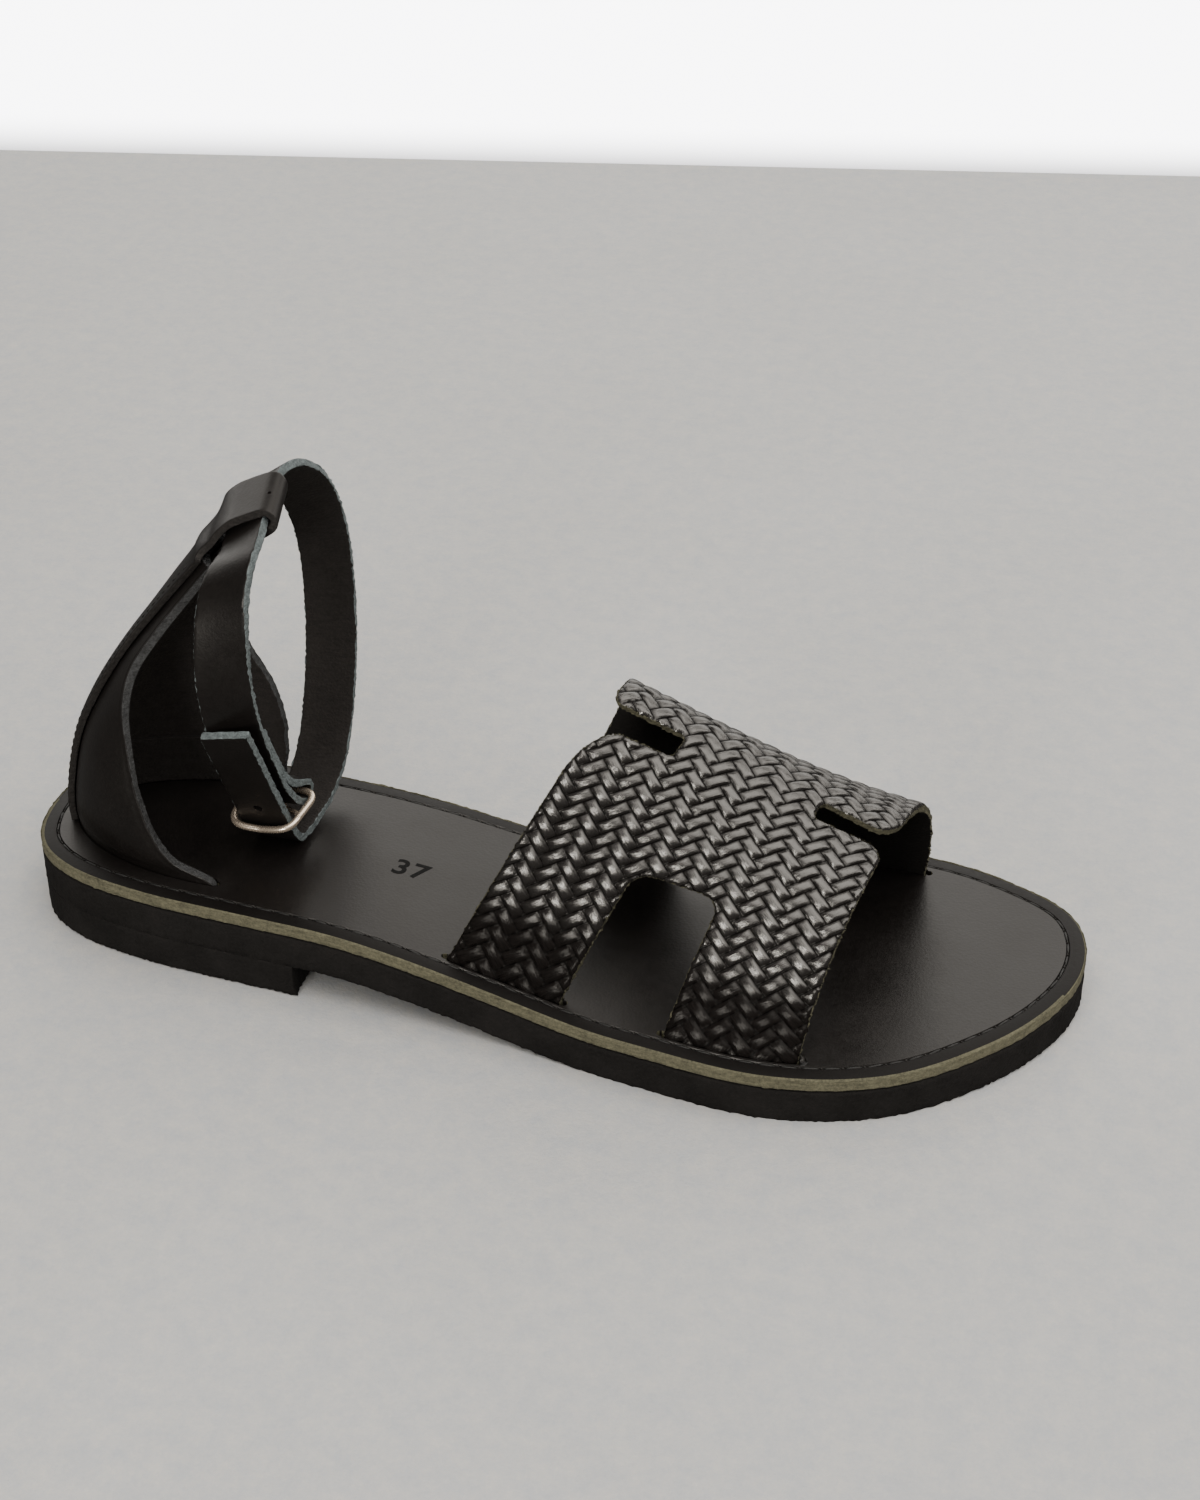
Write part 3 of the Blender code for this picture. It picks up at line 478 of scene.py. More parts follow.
# ---------------------------------------------------------------- counter's shape
def counter_outside(z, share):
    """The counter's outer face, at a height and a share of its half turn."""
    row = smooth_rows([r.z for r in COUNTER], [r[1:] for r in COUNTER], z)
    outer = share < 0
    wide = np.where(outer, row[..., 1], row[..., 3])
    reach = np.where(outer, row[..., 2], row[..., 4])
    turn = np.abs(share)
    full = 2 * np.arctan2(reach, wide)
    radius = wide / np.maximum(np.sin(np.minimum(full, 1.6)), 1e-6)
    deep = reach >= wide
    side = np.where(deep, wide * np.sin(np.pi / 2 * turn), radius * np.sin(full * turn))
    ahead = np.where(deep, reach * (1 - np.cos(np.pi / 2 * turn)),
                     radius * (1 - np.cos(full * turn)))
    return np.stack([row[..., 0] + ahead, np.where(outer, -side, side), z + 0 * side], -1)


def counter_point(z, share, off):
    """A point off the counter's outer face, along the way it faces."""
    low = np.clip(share, SHARE_STEP - 1, 1 - SHARE_STEP)
    round_it = counter_outside(z, low + SHARE_STEP) - counter_outside(z, low - SHARE_STEP)
    up = counter_outside(z + STEP, low) - counter_outside(z - STEP, low)
    up = np.where((z <= COUNTER_FOOT + STEP)[..., None], np.array(UPRIGHT), up)
    normal = unit(np.cross(up, round_it))
    return counter_outside(z, share) + normal * off[..., None]


def share_at_run(z, run):
    """The share at which a run round from the back is reached, at one height."""
    side = -1 if run < 0 else 1
    shares = np.linspace(0, 1, 101)
    line = counter_outside(np.full(len(shares), float(z)), shares * side)
    return float(np.interp(abs(run), run_along(line), shares) * side)


# ---------------------------------------------------------------- strip and strap rows
def strip_on_counter(z, half, outer, inner):
    """A row of the back strip at height z, its faces off the counter by outer and inner."""
    share = np.array([share_at_run(z, run) for run in STRIP_ACROSS * half])
    level = np.full(len(share), z)
    return np.stack([counter_point(level, share, np.full(len(share), off))
                     for off in (outer, inner)], 1)


def strip_rows():
    """Pairs of points, outer and inner face, across the back strip at each of its rows."""
    rows = [strip_on_counter(z, STRIP_HALF, FIT_GAP + STRIP_THICK, FIT_GAP)
            for z in STRIP_HEIGHTS]
    table = [*NECK, *tunnel_rows(), TAIL_START]
    for i, row in enumerate(table):
        before = table[max(i - 1, 0)]
        after = table[min(i + 1, len(table) - 1)]
        run = unit(np.array((after.x - before.x, 0.0, after.z - before.z)))
        normal = np.array((-run[2], 0.0, run[0]))
        slant = TUNNEL_SLANT * row.tilt / TUNNEL_RISE
        y = np.linspace(row.low, row.high, len(STRIP_ACROSS))
        bend = row.bow * STRIP_ACROSS ** 2
        middle = np.stack([row.x + slant * y, y, row.z + row.tilt * y], 1)
        middle = middle - normal * bend[:, None]
        rows.append(np.stack([middle + normal * STRIP_THICK / 2,
                              middle - normal * STRIP_THICK / 2], 1))
    behind = -COUNTER_THICK - FIT_GAP
    rows += [strip_on_counter(z, TAIL_HALF, behind - STRIP_THICK, behind)
             for z in TONGUE_TAIL]
    return np.array(rows)


def tunnel_rows():
    """Rows of the strip over the ankle strap, round its front and back underneath."""
    turn = math.radians(TUNNEL_TURN)
    ahead, up = (math.cos(turn), math.sin(turn)), (-math.sin(turn), math.cos(turn))
    skew = math.hypot(1, math.sin(turn) * TUNNEL_SLANT - math.cos(turn) * TUNNEL_RISE)
    off = (ANKLE_THICK / 2 + FIT_GAP) * skew + STRIP_THICK / 2

    def row(along, out):
        return TongueRow(TUNNEL_X + ahead[0] * along + up[0] * out,
                         TUNNEL_Z + ahead[1] * along + up[1] * out,
                         TUNNEL_LOW, TUNNEL_HIGH, 0.0, TUNNEL_RISE)

    rows = [row(stop, off + crown) for stop, crown in zip(TUNNEL_STOPS, TUNNEL_CROWN)]
    for degrees in TUNNEL_TURNS:
        angle = math.radians(degrees)
        rows.append(row(TUNNEL_STOPS[-1] + off * math.sin(angle), off * math.cos(angle)))
    return rows + [row(stop, -off) for stop in reversed(TUNNEL_STOPS)]


def turned_axes(along, lean):
    """Width and outward directions of a strap that runs along and leans by degrees."""
    width = (Vector((1, 0, 0)) - along * along.x).normalized()
    outward = width.cross(along)
    angle = math.radians(lean)
    turned = width * math.cos(angle) + outward * math.sin(angle)
    return turned, turned.cross(along)


def folded_end():
    """Rows of the layer folded back behind the near strand, then round the hinge."""
    rows = []
    for i in range(FOLD_ROWS - 1, 0, -1):
        before, row, after = NEAR_STRAND[i - 1], NEAR_STRAND[i], NEAR_STRAND[i + 1]
        along = Vector((0, after.y - before.y, after.z - before.z)).normalized()
        apart = ANKLE_THICK + FIT_GAP + FOLD_OPENS.get(i, 0.0)
        middle = Vector(row[:3]) - turned_axes(along, row.lean)[1] * apart
        rows.append(StrapRow(middle.x - FOLD_ASIDE, middle.y, middle.z, -row.lean))
    for turn in FOLD_TURNS:
        angle = math.radians(turn)
        rows.append(StrapRow(60.0, HINGE_Y + FOLD_RADIUS * math.cos(angle),
                             HINGE_Z + FOLD_RADIUS * math.sin(angle), 0.0))
    return rows


def ankle_frames():
    """Middle, width direction, outward direction and thickness along the ankle strap."""
    tunnel = [StrapRow(TUNNEL_X + TUNNEL_SLANT * y, y, TUNNEL_Z + TUNNEL_RISE * y, TUNNEL_LEAN)
              for y in TUNNEL_PASS]
    rows = np.array([*folded_end(), *NEAR_STRAND, *tunnel, *FAR_STRAND, *FREE_END])
    run = run_along(rows[:, :3])
    places = np.linspace(0, run[-1], int(run[-1] / ANKLE_STEP))
    here = smooth_rows(run, rows, places)
    along = unit(smooth_rows(run, rows, np.minimum(places + LOOK, run[-1]))[:, :3]
                 - smooth_rows(run, rows, np.maximum(places - LOOK, 0))[:, :3])
    axes = [turned_axes(Vector(a), row[3]) for a, row in zip(along, here)]
    width = np.array([tuple(a[0]) for a in axes])
    outward = np.array([tuple(a[1]) for a in axes])
    away = np.hypot(here[:, 1] - HINGE_Y, here[:, 2] - HINGE_Z)
    thick = mix(FOLD_THICK, ANKLE_THICK, np.clip((away - THIN_REACH) / THIN_REACH, 0, 1))
    return here[:, :3], width, outward, thick, along


# ---------------------------------------------------------------- making meshes
def read_all(items, key, kind=np.float32, wide=3):
    """A value, or a row of values, of every point, corner or face of a mesh."""
    flat = np.empty(len(items) * wide, kind)
    items.foreach_get(key, flat)
    return flat.reshape(-1, wide).astype(float) if wide > 1 else flat


def read_points(piece):
    """A piece's points as an array of rows."""
    return read_all(piece.data.vertices, "co")


def write_points(piece, points):
    """Moves a piece's points to new places."""
    piece.data.vertices.foreach_set("co", np.asarray(points, np.float32).ravel())
    piece.data.update()


def select(*pieces):
    """Selects only these pieces, the first of them active."""
    bpy.ops.object.select_all(action="DESELECT")
    for piece in pieces:
        piece.select_set(True)
    bpy.context.view_layer.objects.active = pieces[0]


def primitive(add, **settings):
    """Adds a primitive with nothing else selected."""
    bpy.ops.object.select_all(action="DESELECT")
    add(**settings)
    return bpy.context.object


def linked(name, data):
    """A new object of the scene that shows the data."""
    thing = bpy.data.objects.new(name, data)
    bpy.context.scene.collection.objects.link(thing)
    return thing


def shade_round(piece):
    """Shades every face of a piece smoothly."""
    for face in piece.data.polygons:
        face.use_smooth = True


def in_edit(piece, *steps):
    """Runs edit steps, each an operator and its settings, on the whole piece."""
    select(piece)
    bpy.ops.object.mode_set(mode="EDIT")
    bpy.ops.mesh.select_all(action="SELECT")
    for step, settings in steps:
        step(**settings)
    bpy.ops.object.mode_set(mode="OBJECT")


OUTWARDS = (bpy.ops.mesh.normals_make_consistent, {"inside": False})


def merging(distance):
    """An edit step that joins points closer than the distance."""
    return bpy.ops.mesh.remove_doubles, {"threshold": distance}


def shape_with(piece, kind, **settings):
    """Adds a modifier of this kind and applies it."""
    select(piece)
    tool = piece.modifiers.new(kind.lower(), kind)
    for key, value in settings.items():
        setattr(tool, key, value)
    bpy.ops.object.modifier_apply(modifier=tool.name)


def blank(name, columns, rows, wide, long, low=(0.0, 0.0)):
    """A flat grid of leather in millimetres, its low corner at low."""
    piece = primitive(bpy.ops.mesh.primitive_grid_add, x_subdivisions=columns,
                      y_subdivisions=rows, size=2.0)
    piece.name = name
    piece.data.name = name
    points = read_points(piece)
    points[:, 0] = low[0] + (points[:, 0] + 1) / 2 * wide
    points[:, 1] = low[1] + (points[:, 1] + 1) / 2 * long
    write_points(piece, points)
    return piece


def dress(piece, *materials):
    """Fills the piece's material slots in order."""
    slots = piece.data.materials
    for place, material in enumerate(materials):
        if place < len(slots):
            slots[place] = material
        else:
            slots.append(material)


FACE, BACK, RIM, MARGIN = range(4)    # material slots of a leather piece
LEVEL = 0.8               # a face is level when its normal rises more than this
SHARP = 60.0


def thicken(piece, thick, edge_round, rim_cuts):
    """Gives a flat blank its two faces and its cut edge, each in its own slot."""
    for _ in range(3):
        piece.data.materials.append(None)
    shape_with(piece, "SOLIDIFY", thickness=thick, offset=0.0)
    if edge_round:
        shape_with(piece, "BEVEL", width=edge_round, segments=2, limit_method="ANGLE",
                   angle_limit=math.radians(SHARP), use_clamp_overlap=False)
    shape = bmesh.new()
    shape.from_mesh(piece.data)
    upright = [e for e in shape.edges
               if abs(e.verts[0].co.z - e.verts[1].co.z) > thick / 2]
    bmesh.ops.subdivide_edges(shape, edges=upright, cuts=rim_cuts, use_grid_fill=True)
    for face in shape.faces:
        up = face.normal.z
        face.material_index = FACE if up > LEVEL else BACK if up < -LEVEL else RIM
        face.smooth = True
    shape.to_mesh(piece.data)
    shape.free()


def fuzz_edge(piece, amount, seed):
    """Roughens the cut edge of a flat blank, outwards and inwards."""
    points = read_points(piece)
    rim = np.zeros(len(points), bool)
    push = np.zeros_like(points)
    for face in piece.data.polygons:
        if face.material_index == RIM:
            ids = list(face.vertices)
            rim[ids] = True
            push[ids] += np.array(face.normal)
    push[:, 2] = 0
    random = seeded(seed).normal(0, 1, len(points))
    points += unit(push) * (rim * random * amount)[:, None]
    write_points(piece, points)


def form(piece, place):
    """Bends a flat piece into the shoe: place turns pattern points into shoe points."""
    keep_pattern(piece)
    points = read_points(piece)
    write_points(piece, to_row(place(points[:, 0], points[:, 1], points[:, 2])))
    in_edit(piece, OUTWARDS)


def keep_pattern(piece):
    """Keeps the flat pattern as a UV map, in units of 10 mm."""
    mesh = piece.data
    layer = mesh.uv_layers.get("pattern") or mesh.uv_layers.new(name="pattern")
    corners = read_all(mesh.loops, "vertex_index", np.int32, 1)
    points = read_points(piece)[corners, :2] / 10
    layer.data.foreach_set("uv", points.astype(np.float32).ravel())


def wrapped(name, points):
    """A grid primitive wrapped round: points[row][column] in shoe millimetres."""
    rows, columns = points.shape[:2]
    piece = blank(name, columns - 1, rows - 1, columns - 1, rows - 1)
    flat = read_points(piece)
    column = np.rint(flat[:, 0]).astype(int)
    row = np.rint(flat[:, 1]).astype(int)
    write_points(piece, to_row(points[row, column]))
    in_edit(piece, merging(2e-6), OUTWARDS)
    shade_round(piece)
    return piece


def sharpen(piece, degrees=SHARP):
    """Marks the edges that turn by more than so many degrees."""
    piece.data.set_sharp_from_angle(angle=math.radians(degrees))


def carve(piece, cutter):
    """Cuts the cutter's shape out of a piece."""
    shape_with(piece, "BOOLEAN", operation="DIFFERENCE", solver="EXACT", object=cutter)
    bpy.data.objects.remove(cutter, do_unlink=True)


def settle(piece, slot, *nodes):
    """The piece rides on the shoe and stands for its nodes; the slot is not used."""
    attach(piece, BODY)
    if nodes:
        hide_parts(*nodes)


def copies(name, prototype, frames):
    """One mesh of many copies of a small mesh; frames are 3 x 3 axes and a place each."""
    points = read_points(prototype)
    faces = [list(face.vertices) for face in prototype.data.polygons]
    count = len(points)
    all_points = np.concatenate([points @ axes + place for axes, place in frames])
    all_faces = [[v + k * count for v in face] for k in range(len(frames)) for face in faces]
    mesh = bpy.data.meshes.new(name)
    mesh.from_pydata(to_row(all_points).tolist(), [], all_faces)
    piece = linked(name, mesh)
    shade_round(piece)
    bpy.data.objects.remove(prototype, do_unlink=True)
    return piece


def stitches(name, line, normals, pitch, long, thick, colour, skip=0.0):
    """Stitches laid along a line of shoe points, each a rounded grain of thread."""
    run = run_along(line)
    places = np.arange(pitch / 2 + skip, run[-1] - skip, pitch)
    tangents = unit(read_line(places + LOOK, run, line) - read_line(places - LOOK, run, line))
    spots = read_line(places, run, line)
    ups = unit(read_line(places, run, normals))
    frames = []
    random = seeded(len(spots))
    for spot, tangent, up in zip(spots, tangents, ups):
        side = unit(np.cross(up, tangent))
        tangent = unit(tangent + side * random.normal(0, STITCH_TURNS))
        frames.append((np.stack([tangent * long / 2, side * thick / 2, up * thick / 2]), spot))
    grain = primitive(bpy.ops.mesh.primitive_uv_sphere_add, segments=8, ring_count=5,
                      radius=1.0)
    piece = copies(name, grain, frames)
    dress(piece, colour)
    return piece


def fibres(name, spots, outward, long, colour, seed):
    """Loose fibres standing off a cut edge, each a slim three-sided spike."""
    spike = primitive(bpy.ops.mesh.primitive_cone_add, vertices=3, radius1=FIBRE_WIDE,
                      depth=1.0)
    random = seeded(seed)
    frames = []
    for spot, out in zip(spots, unit(outward)):
        out = unit(out + random.normal(0, FIBRE_SPREAD, 3))
        side = unit(np.cross(out, random.normal(0, 1, 3)))
        reach = long * random.uniform(*FIBRE_REACH)
        frames.append((np.stack([side, np.cross(out, side), out * reach]),
                       spot + out * reach * FIBRE_ROOT))
    piece = copies(name, spike, frames)
    dress(piece, colour)
    return piece


def tube(name, path, radius, closed, material, resolution):
    """A round wire along a path of shoe points, as a mesh."""
    curve = bpy.data.curves.new(name, "CURVE")
    curve.dimensions = "3D"
    curve.bevel_depth = radius / 1000
    curve.bevel_resolution = resolution
    curve.use_fill_caps = True
    line = curve.splines.new("POLY")
    line.points.add(len(path) - 1)
    line.use_cyclic_u = closed
    for point, place in zip(line.points, to_row(path)):
        point.co = (*place, 1.0)
    select(linked(name, curve))
    bpy.ops.object.convert(target="MESH")
    piece = bpy.context.object
    shade_round(piece)
    dress(piece, material)
    return piece


# ---------------------------------------------------------------- materials
RIM_GREY = (0.078, 0.079, 0.08)
SHEEN_TINT = (1.0, 0.96, 0.89, 1.0)
INK_DARK = (0.002, 0.002, 0.002)
INK_PALE = (0.008, 0.008, 0.008)
FLOOR_COOL = (0.88, 0.91, 0.95)
FLOOR_SANDY = (1.1, 1.07, 1.02)
BRAID_GLOSS = (0.03, 0.85)
# how fine each texture is, in marks to a metre
CLOUDS, SCUFFS, CREASES, PATCHES, PORES, PITS = 55.0, 90.0, 300.0, 420.0, 620.0, 700.0
GRAIN, SANDING, FINE_FIBRES, FELT, PEBBLES = 900.0, 1300.0, 1400.0, 1500.0, 1500.0
LAYERS, SCRATCHES, TWISTS = 1700.0, 2200.0, 3000.0
LAYER_SQUASH = (0.12, 0.12, 1.0)
STREAKS_ALONG, STREAKS_ACROSS, STREAKS_APART = 1.1, 15.0, 57.0
WIDE, NARROW = 0.2, 0.15  # how much of a noise to each side of its middle is used


class Recipe:
    """A material's node tree, built one node at a time."""

    def __init__(self, name):
        old = bpy.data.materials.get(name)
        if old:
            bpy.data.materials.remove(old)
        self.material = bpy.data.materials.new(name)
        self.material.use_nodes = True
        self.tree = self.material.node_tree
        self.shader = self.tree.nodes["Principled BSDF"]

    def add(self, kind, inputs=None, **settings):
        node = self.tree.nodes.new(kind)
        for key, value in settings.items():
            setattr(node, key, value)
        for key, value in (inputs or {}).items():
            self.put(node.inputs[key], value)
        return node

    def put(self, socket, value):
        if isinstance(value, bpy.types.NodeSocket):
            self.tree.links.new(value, socket)
        else:
            socket.default_value = value

    def place(self):
        return self.add("ShaderNodeTexCoord").outputs["Object"]

    def part_of(self, vector, axis):
        return self.add("ShaderNodeSeparateXYZ", {0: vector}).outputs[axis]

    def attribute(self, name):
        return self.add("ShaderNodeAttribute", attribute_name=name).outputs["Fac"]

    def noise(self, scale, detail=2.0, rough=0.5, vector=None):
        return self.add("ShaderNodeTexNoise", {"Vector": vector or self.place(),
                                               "Scale": scale, "Detail": detail,
                                               "Roughness": rough}).outputs["Fac"]

    def cells(self, scale):
        return self.add("ShaderNodeTexVoronoi", {"Vector": self.place(),
                                                 "Scale": scale}).outputs["Distance"]

    def ramp(self, value, low, high, first, last, way="LINEAR"):
        """The value's run from low to high, turned into one from first to last."""
        node = self.add("ShaderNodeMapRange", {"Value": value, "From Min": low,
                                               "From Max": high, "To Min": first,
                                               "To Max": last}, interpolation_type=way)
        return node.outputs["Result"]

    def spread(self, noise, first, last, half=WIDE):
        """The middle of a noise, half to each side, turned into a run from first to last."""
        return self.ramp(noise, 0.5 - half, 0.5 + half, first, last)

    def sum(self, operation, a, b):
        return self.add("ShaderNodeMath", {0: a, 1: b}, operation=operation).outputs[0]

    def plus(self, a, b):
        return self.sum("ADD", a, b)

    def times(self, a, b):
        return self.sum("MULTIPLY", a, b)

    def from_ends(self, way, long):
        """How near a way from 0 to long is to its nearer end."""
        return self.sum("MINIMUM", way, self.sum("SUBTRACT", long, way))

    def blend(self, amount, a, b):
        return self.add("ShaderNodeMix", {0: amount, 6: tint(a), 7: tint(b)},
                        data_type="RGBA").outputs[2]

    def shades(self, amount, colour, dark, pale):
        """The colour made darker and paler by two factors, mixed by an amount."""
        return self.blend(amount, scaled(colour, dark), scaled(colour, pale))

    def bump(self, height, strength, distance):
        return self.add("ShaderNodeBump", {"Height": height, "Strength": strength,
                                           "Distance": distance}).outputs["Normal"]

    def finish(self, colour, rough, normal=None, **constants):
        """Wires the shader up and gives the finished material."""
        self.put(self.shader.inputs["Base Color"], tint(colour))
        self.put(self.shader.inputs["Roughness"], rough)
        if normal is not None:
            self.put(self.shader.inputs["Normal"], normal)
        self.put(self.shader.inputs["Specular Tint"], SHEEN_TINT)
        for key, value in constants.items():
            self.shader.inputs[key.replace("_", " ")].default_value = value
        return self.material


def tint(colour):
    """A colour of three numbers with its alpha; a socket is left as it is."""
    if isinstance(colour, bpy.types.NodeSocket):
        return colour
    colour = tuple(colour)
    return colour if len(colour) == 4 else (*colour, 1.0)


def scaled(colour, factor):
    """The colour made darker or paler by a factor."""
    return tuple(min(c * factor, 1.0) for c in tuple(colour)[:3])


def smooth_leather(name, colour, roughness, grain, pores, gloss):
    """Satin leather: fine pebbled grain, pores, faint cloudiness and rub marks."""
    r = Recipe(name)
    cloud = r.noise(CLOUDS, 3.0)
    fine = r.noise(GRAIN, 3.0, 0.6)
    tone = r.plus(r.spread(cloud, 0.0, 0.7), r.spread(fine, 0.0, 0.3, NARROW))
    rough = r.plus(r.spread(cloud, roughness - 0.05, roughness + 0.05),
                   r.spread(fine, -0.03, 0.04))
    hole = r.ramp(r.cells(PORES * grain), 0.0, 0.12, 0.0, 1.0)
    height = r.plus(r.times(r.cells(PEBBLES * grain), 0.6), r.times(hole, pores))
    height = r.plus(height, r.times(r.noise(CREASES, 4.0), 0.8))
    return r.finish(r.shades(tone, colour, 0.75, 1.35), rough, r.bump(height, 0.22, 0.00012),
                    Specular_IOR_Level=gloss)


def braided_leather(name, colour, roughness):
    """Glossy braid leather: streaks run along each strand; painted shade darkens the seams."""
    r = Recipe(name)
    spot = r.add("ShaderNodeUVMap", uv_map="strand").outputs["UV"]
    along, across = r.part_of(spot, 0), r.part_of(spot, 1)
    streak_at = r.add("ShaderNodeCombineXYZ", {
        0: r.times(along, STREAKS_ALONG), 1: r.times(across, STREAKS_ACROSS),
        2: r.times(r.attribute("strand_number"), STREAKS_APART)}).outputs[0]
    streak = r.noise(1.0, 3.0, 0.6, streak_at)
    # painted shade: the colour darkens towards the seams, where the strands dip under each other
    near_seam = r.sum("MINIMUM", r.from_ends(across, 1.0), r.from_ends(along, 2.0))
    seam = r.ramp(near_seam, 0.0, 0.1, 0.0, 1.0)
    tone = r.times(r.spread(streak, 0.15, 1.0), seam)
    rough = r.plus(r.spread(streak, roughness + 0.1, roughness - 0.06),
                   r.ramp(seam, 0.0, 1.0, 0.3, 0.0))
    # the gloss mask paints shade into the seams and near the strap's feet
    shine = r.ramp(r.attribute("strand_shine"), 0.0, 1.0, *BRAID_GLOSS)
    r.put(r.shader.inputs["Specular IOR Level"], shine)
    height = r.plus(streak, r.times(r.noise(FINE_FIBRES, 2.0), 0.15))
    return r.finish(r.shades(tone, colour, 0.3, 1.6), rough, r.bump(height, 0.4, 0.0002),
                    IOR=1.7)


def raw_leather(name, pale, dark, roughness=0.9):
    """Cut edge or flesh side: felted fibres, pale and dark, in flat layers."""
    r = Recipe(name)
    fibre = r.noise(FELT, 5.0, 0.8)
    patch = r.noise(PATCHES, 3.0, 0.6)
    layer_at = r.add("ShaderNodeVectorMath", {0: r.place(), 1: LAYER_SQUASH},
                     operation="MULTIPLY").outputs[0]
    layers = r.noise(LAYERS, 3.0, 0.7, layer_at)
    tone = r.plus(r.spread(fibre, 0.0, 0.45, 0.1), r.spread(patch, 0.0, 0.2, NARROW))
    tone = r.plus(tone, r.spread(layers, 0.0, 0.35, NARROW))
    height = r.plus(fibre, r.times(r.cells(FELT), 0.6))
    return r.finish(r.blend(tone, dark, pale), roughness, r.bump(height, 0.8, 0.00025))


def sole_rubber(name, colour):
    """Dense black rubber, sanded at its side: pitted and scuffed."""
    r = Recipe(name)
    fine = r.noise(SANDING, 4.0, 0.7)
    patch = r.noise(SCUFFS, 4.0, 0.6)
    pits = r.ramp(r.cells(PITS), 0.0, 0.25, 0.0, 1.0)
    tone = r.plus(r.ramp(fine, 0.35, 0.7, 0.0, 0.5), r.ramp(patch, 0.4, 0.7, 0.0, 0.5))
    height = r.plus(fine, r.times(pits, 0.5))
    return r.finish(r.shades(tone, colour, 0.6, 1.8), r.spread(patch, 0.72, 0.9),
                    r.bump(height, 0.9, 0.0004), Specular_IOR_Level=0.25)


def buckle_metal(name, colour):
    """Polished warm silver, lightly scratched."""
    r = Recipe(name)
    worn = r.noise(CREASES, 3.0)
    rough = r.spread(r.noise(SCRATCHES, 3.0, 0.6), 0.24, 0.3)
    return r.finish(r.shades(r.spread(worn, 0.0, 1.0), colour, 0.92, 1.0), rough,
                    r.bump(worn, 0.04, 0.0001), Metallic=0.85)


def waxed_thread(name, colour):
    """Dark waxed thread with a fine twist."""
    r = Recipe(name)
    twist = r.noise(TWISTS, 2.0)
    return r.finish(r.shades(r.spread(twist, 0.0, 1.0, NARROW), colour, 0.6, 1.7),
                    r.spread(twist, 0.45, 0.65), r.bump(twist, 0.5, 0.0001))


def pressed_ink(name):
    """Near black, dull, a little uneven."""
    r = Recipe(name)
    mark = r.noise(FELT, 3.0)
    return r.finish(r.blend(mark, INK_DARK, INK_PALE), 0.7, r.bump(mark, 0.5, 0.0001),
                    Specular_IOR_Level=0.12)


def floor_finish(name, colour):
    """Pale stone floor: warm and cool mottling, fine grain."""
    r = Recipe(name)
    grain = r.noise(GRAIN, 3.0, 0.75)
    cloud = r.noise(9.0, 5.0, 0.6)
    warm = r.noise(150.0, 6.0, 0.85)
    tone = r.plus(r.spread(grain, 0.0, 0.5, 0.18), r.spread(cloud, 0.0, 0.5))
    cool, sandy = [[share * part for share, part in zip(colour, parts)]
                   for parts in (FLOOR_COOL, FLOOR_SANDY)]
    mottled = r.blend(r.spread(warm, 0.0, 1.0, NARROW), cool, sandy)
    return r.finish(r.blend(r.times(tone, 0.16), mottled, scaled(colour, 0.35)), 0.75,
                    r.bump(grain, 0.45, 0.0004))


def wall_finish(name, colour, glow):
    """White wall that glows, less so where it meets the floor."""
    r = Recipe(name)
    colour_out = r.shades(r.noise(4.0, 2.0), colour, 0.97, 1.0)
    rise = r.ramp(r.part_of(r.place(), 2), *WALL_FOOT, 0.0, 1.0, "SMOOTHSTEP")
    r.put(r.shader.inputs["Emission Strength"], r.ramp(rise, 0.0, 1.0, 0.3, glow))
    return r.finish(colour_out, 0.9, Emission_Color=tint(colour))


def materials(colours):
    """Every finish of the shoe, made from the colours in the panel."""
    leather, olive, grey = colours.leather, colours.sole_edge, colours.strap_edge

    def smooth(name, *look):
        return smooth_leather(name, leather, *look)

    def raw(name, colour, pale, dark, *rough):
        return raw_leather(name, scaled(colour, pale), scaled(colour, dark), *rough)

    return {
        "skin": smooth("satin_leather", 0.38, 1.0, 0.35, 0.4),
        "strap": smooth("strap_leather", 0.38, 1.2, 0.25, 0.4),
        "footbed": smooth("footbed_leather", 0.39, 0.9, 0.3, 0.48),
        "margin": smooth_leather("footbed_margin", scaled(leather, 0.7), 0.5, 0.9, 0.3, 0.2),
        "braid": braided_leather("braided_leather", leather, 0.18),
        "flesh": raw("flesh_side", leather, 2.8, 1.1),
        "black": raw("blackened_edge", leather, 2.6, 0.5, 0.7),
        # painted shade: a darker copy of the flesh side, for the front strap's underside and the
        # lining's top edge, which lie in shade
        "back": raw("shaded_braid_back", leather, 1.0, 0.35),
        "olive": raw("olive_cut_edge", olive, 1.0, 0.3),
        "khaki": raw("khaki_cut_edge", olive, 0.8, 0.12),
        "grey": raw("grey_cut_edge", grey, 1.0, 0.25),
        "dim": raw("dim_cut_edge", RIM_GREY, 1.0, 0.12),
        "rubber": sole_rubber("sole_rubber", colours.rubber),
        "metal": buckle_metal("buckle_metal", colours.metal),
        "thread": waxed_thread("waxed_thread", colours.thread),
    }


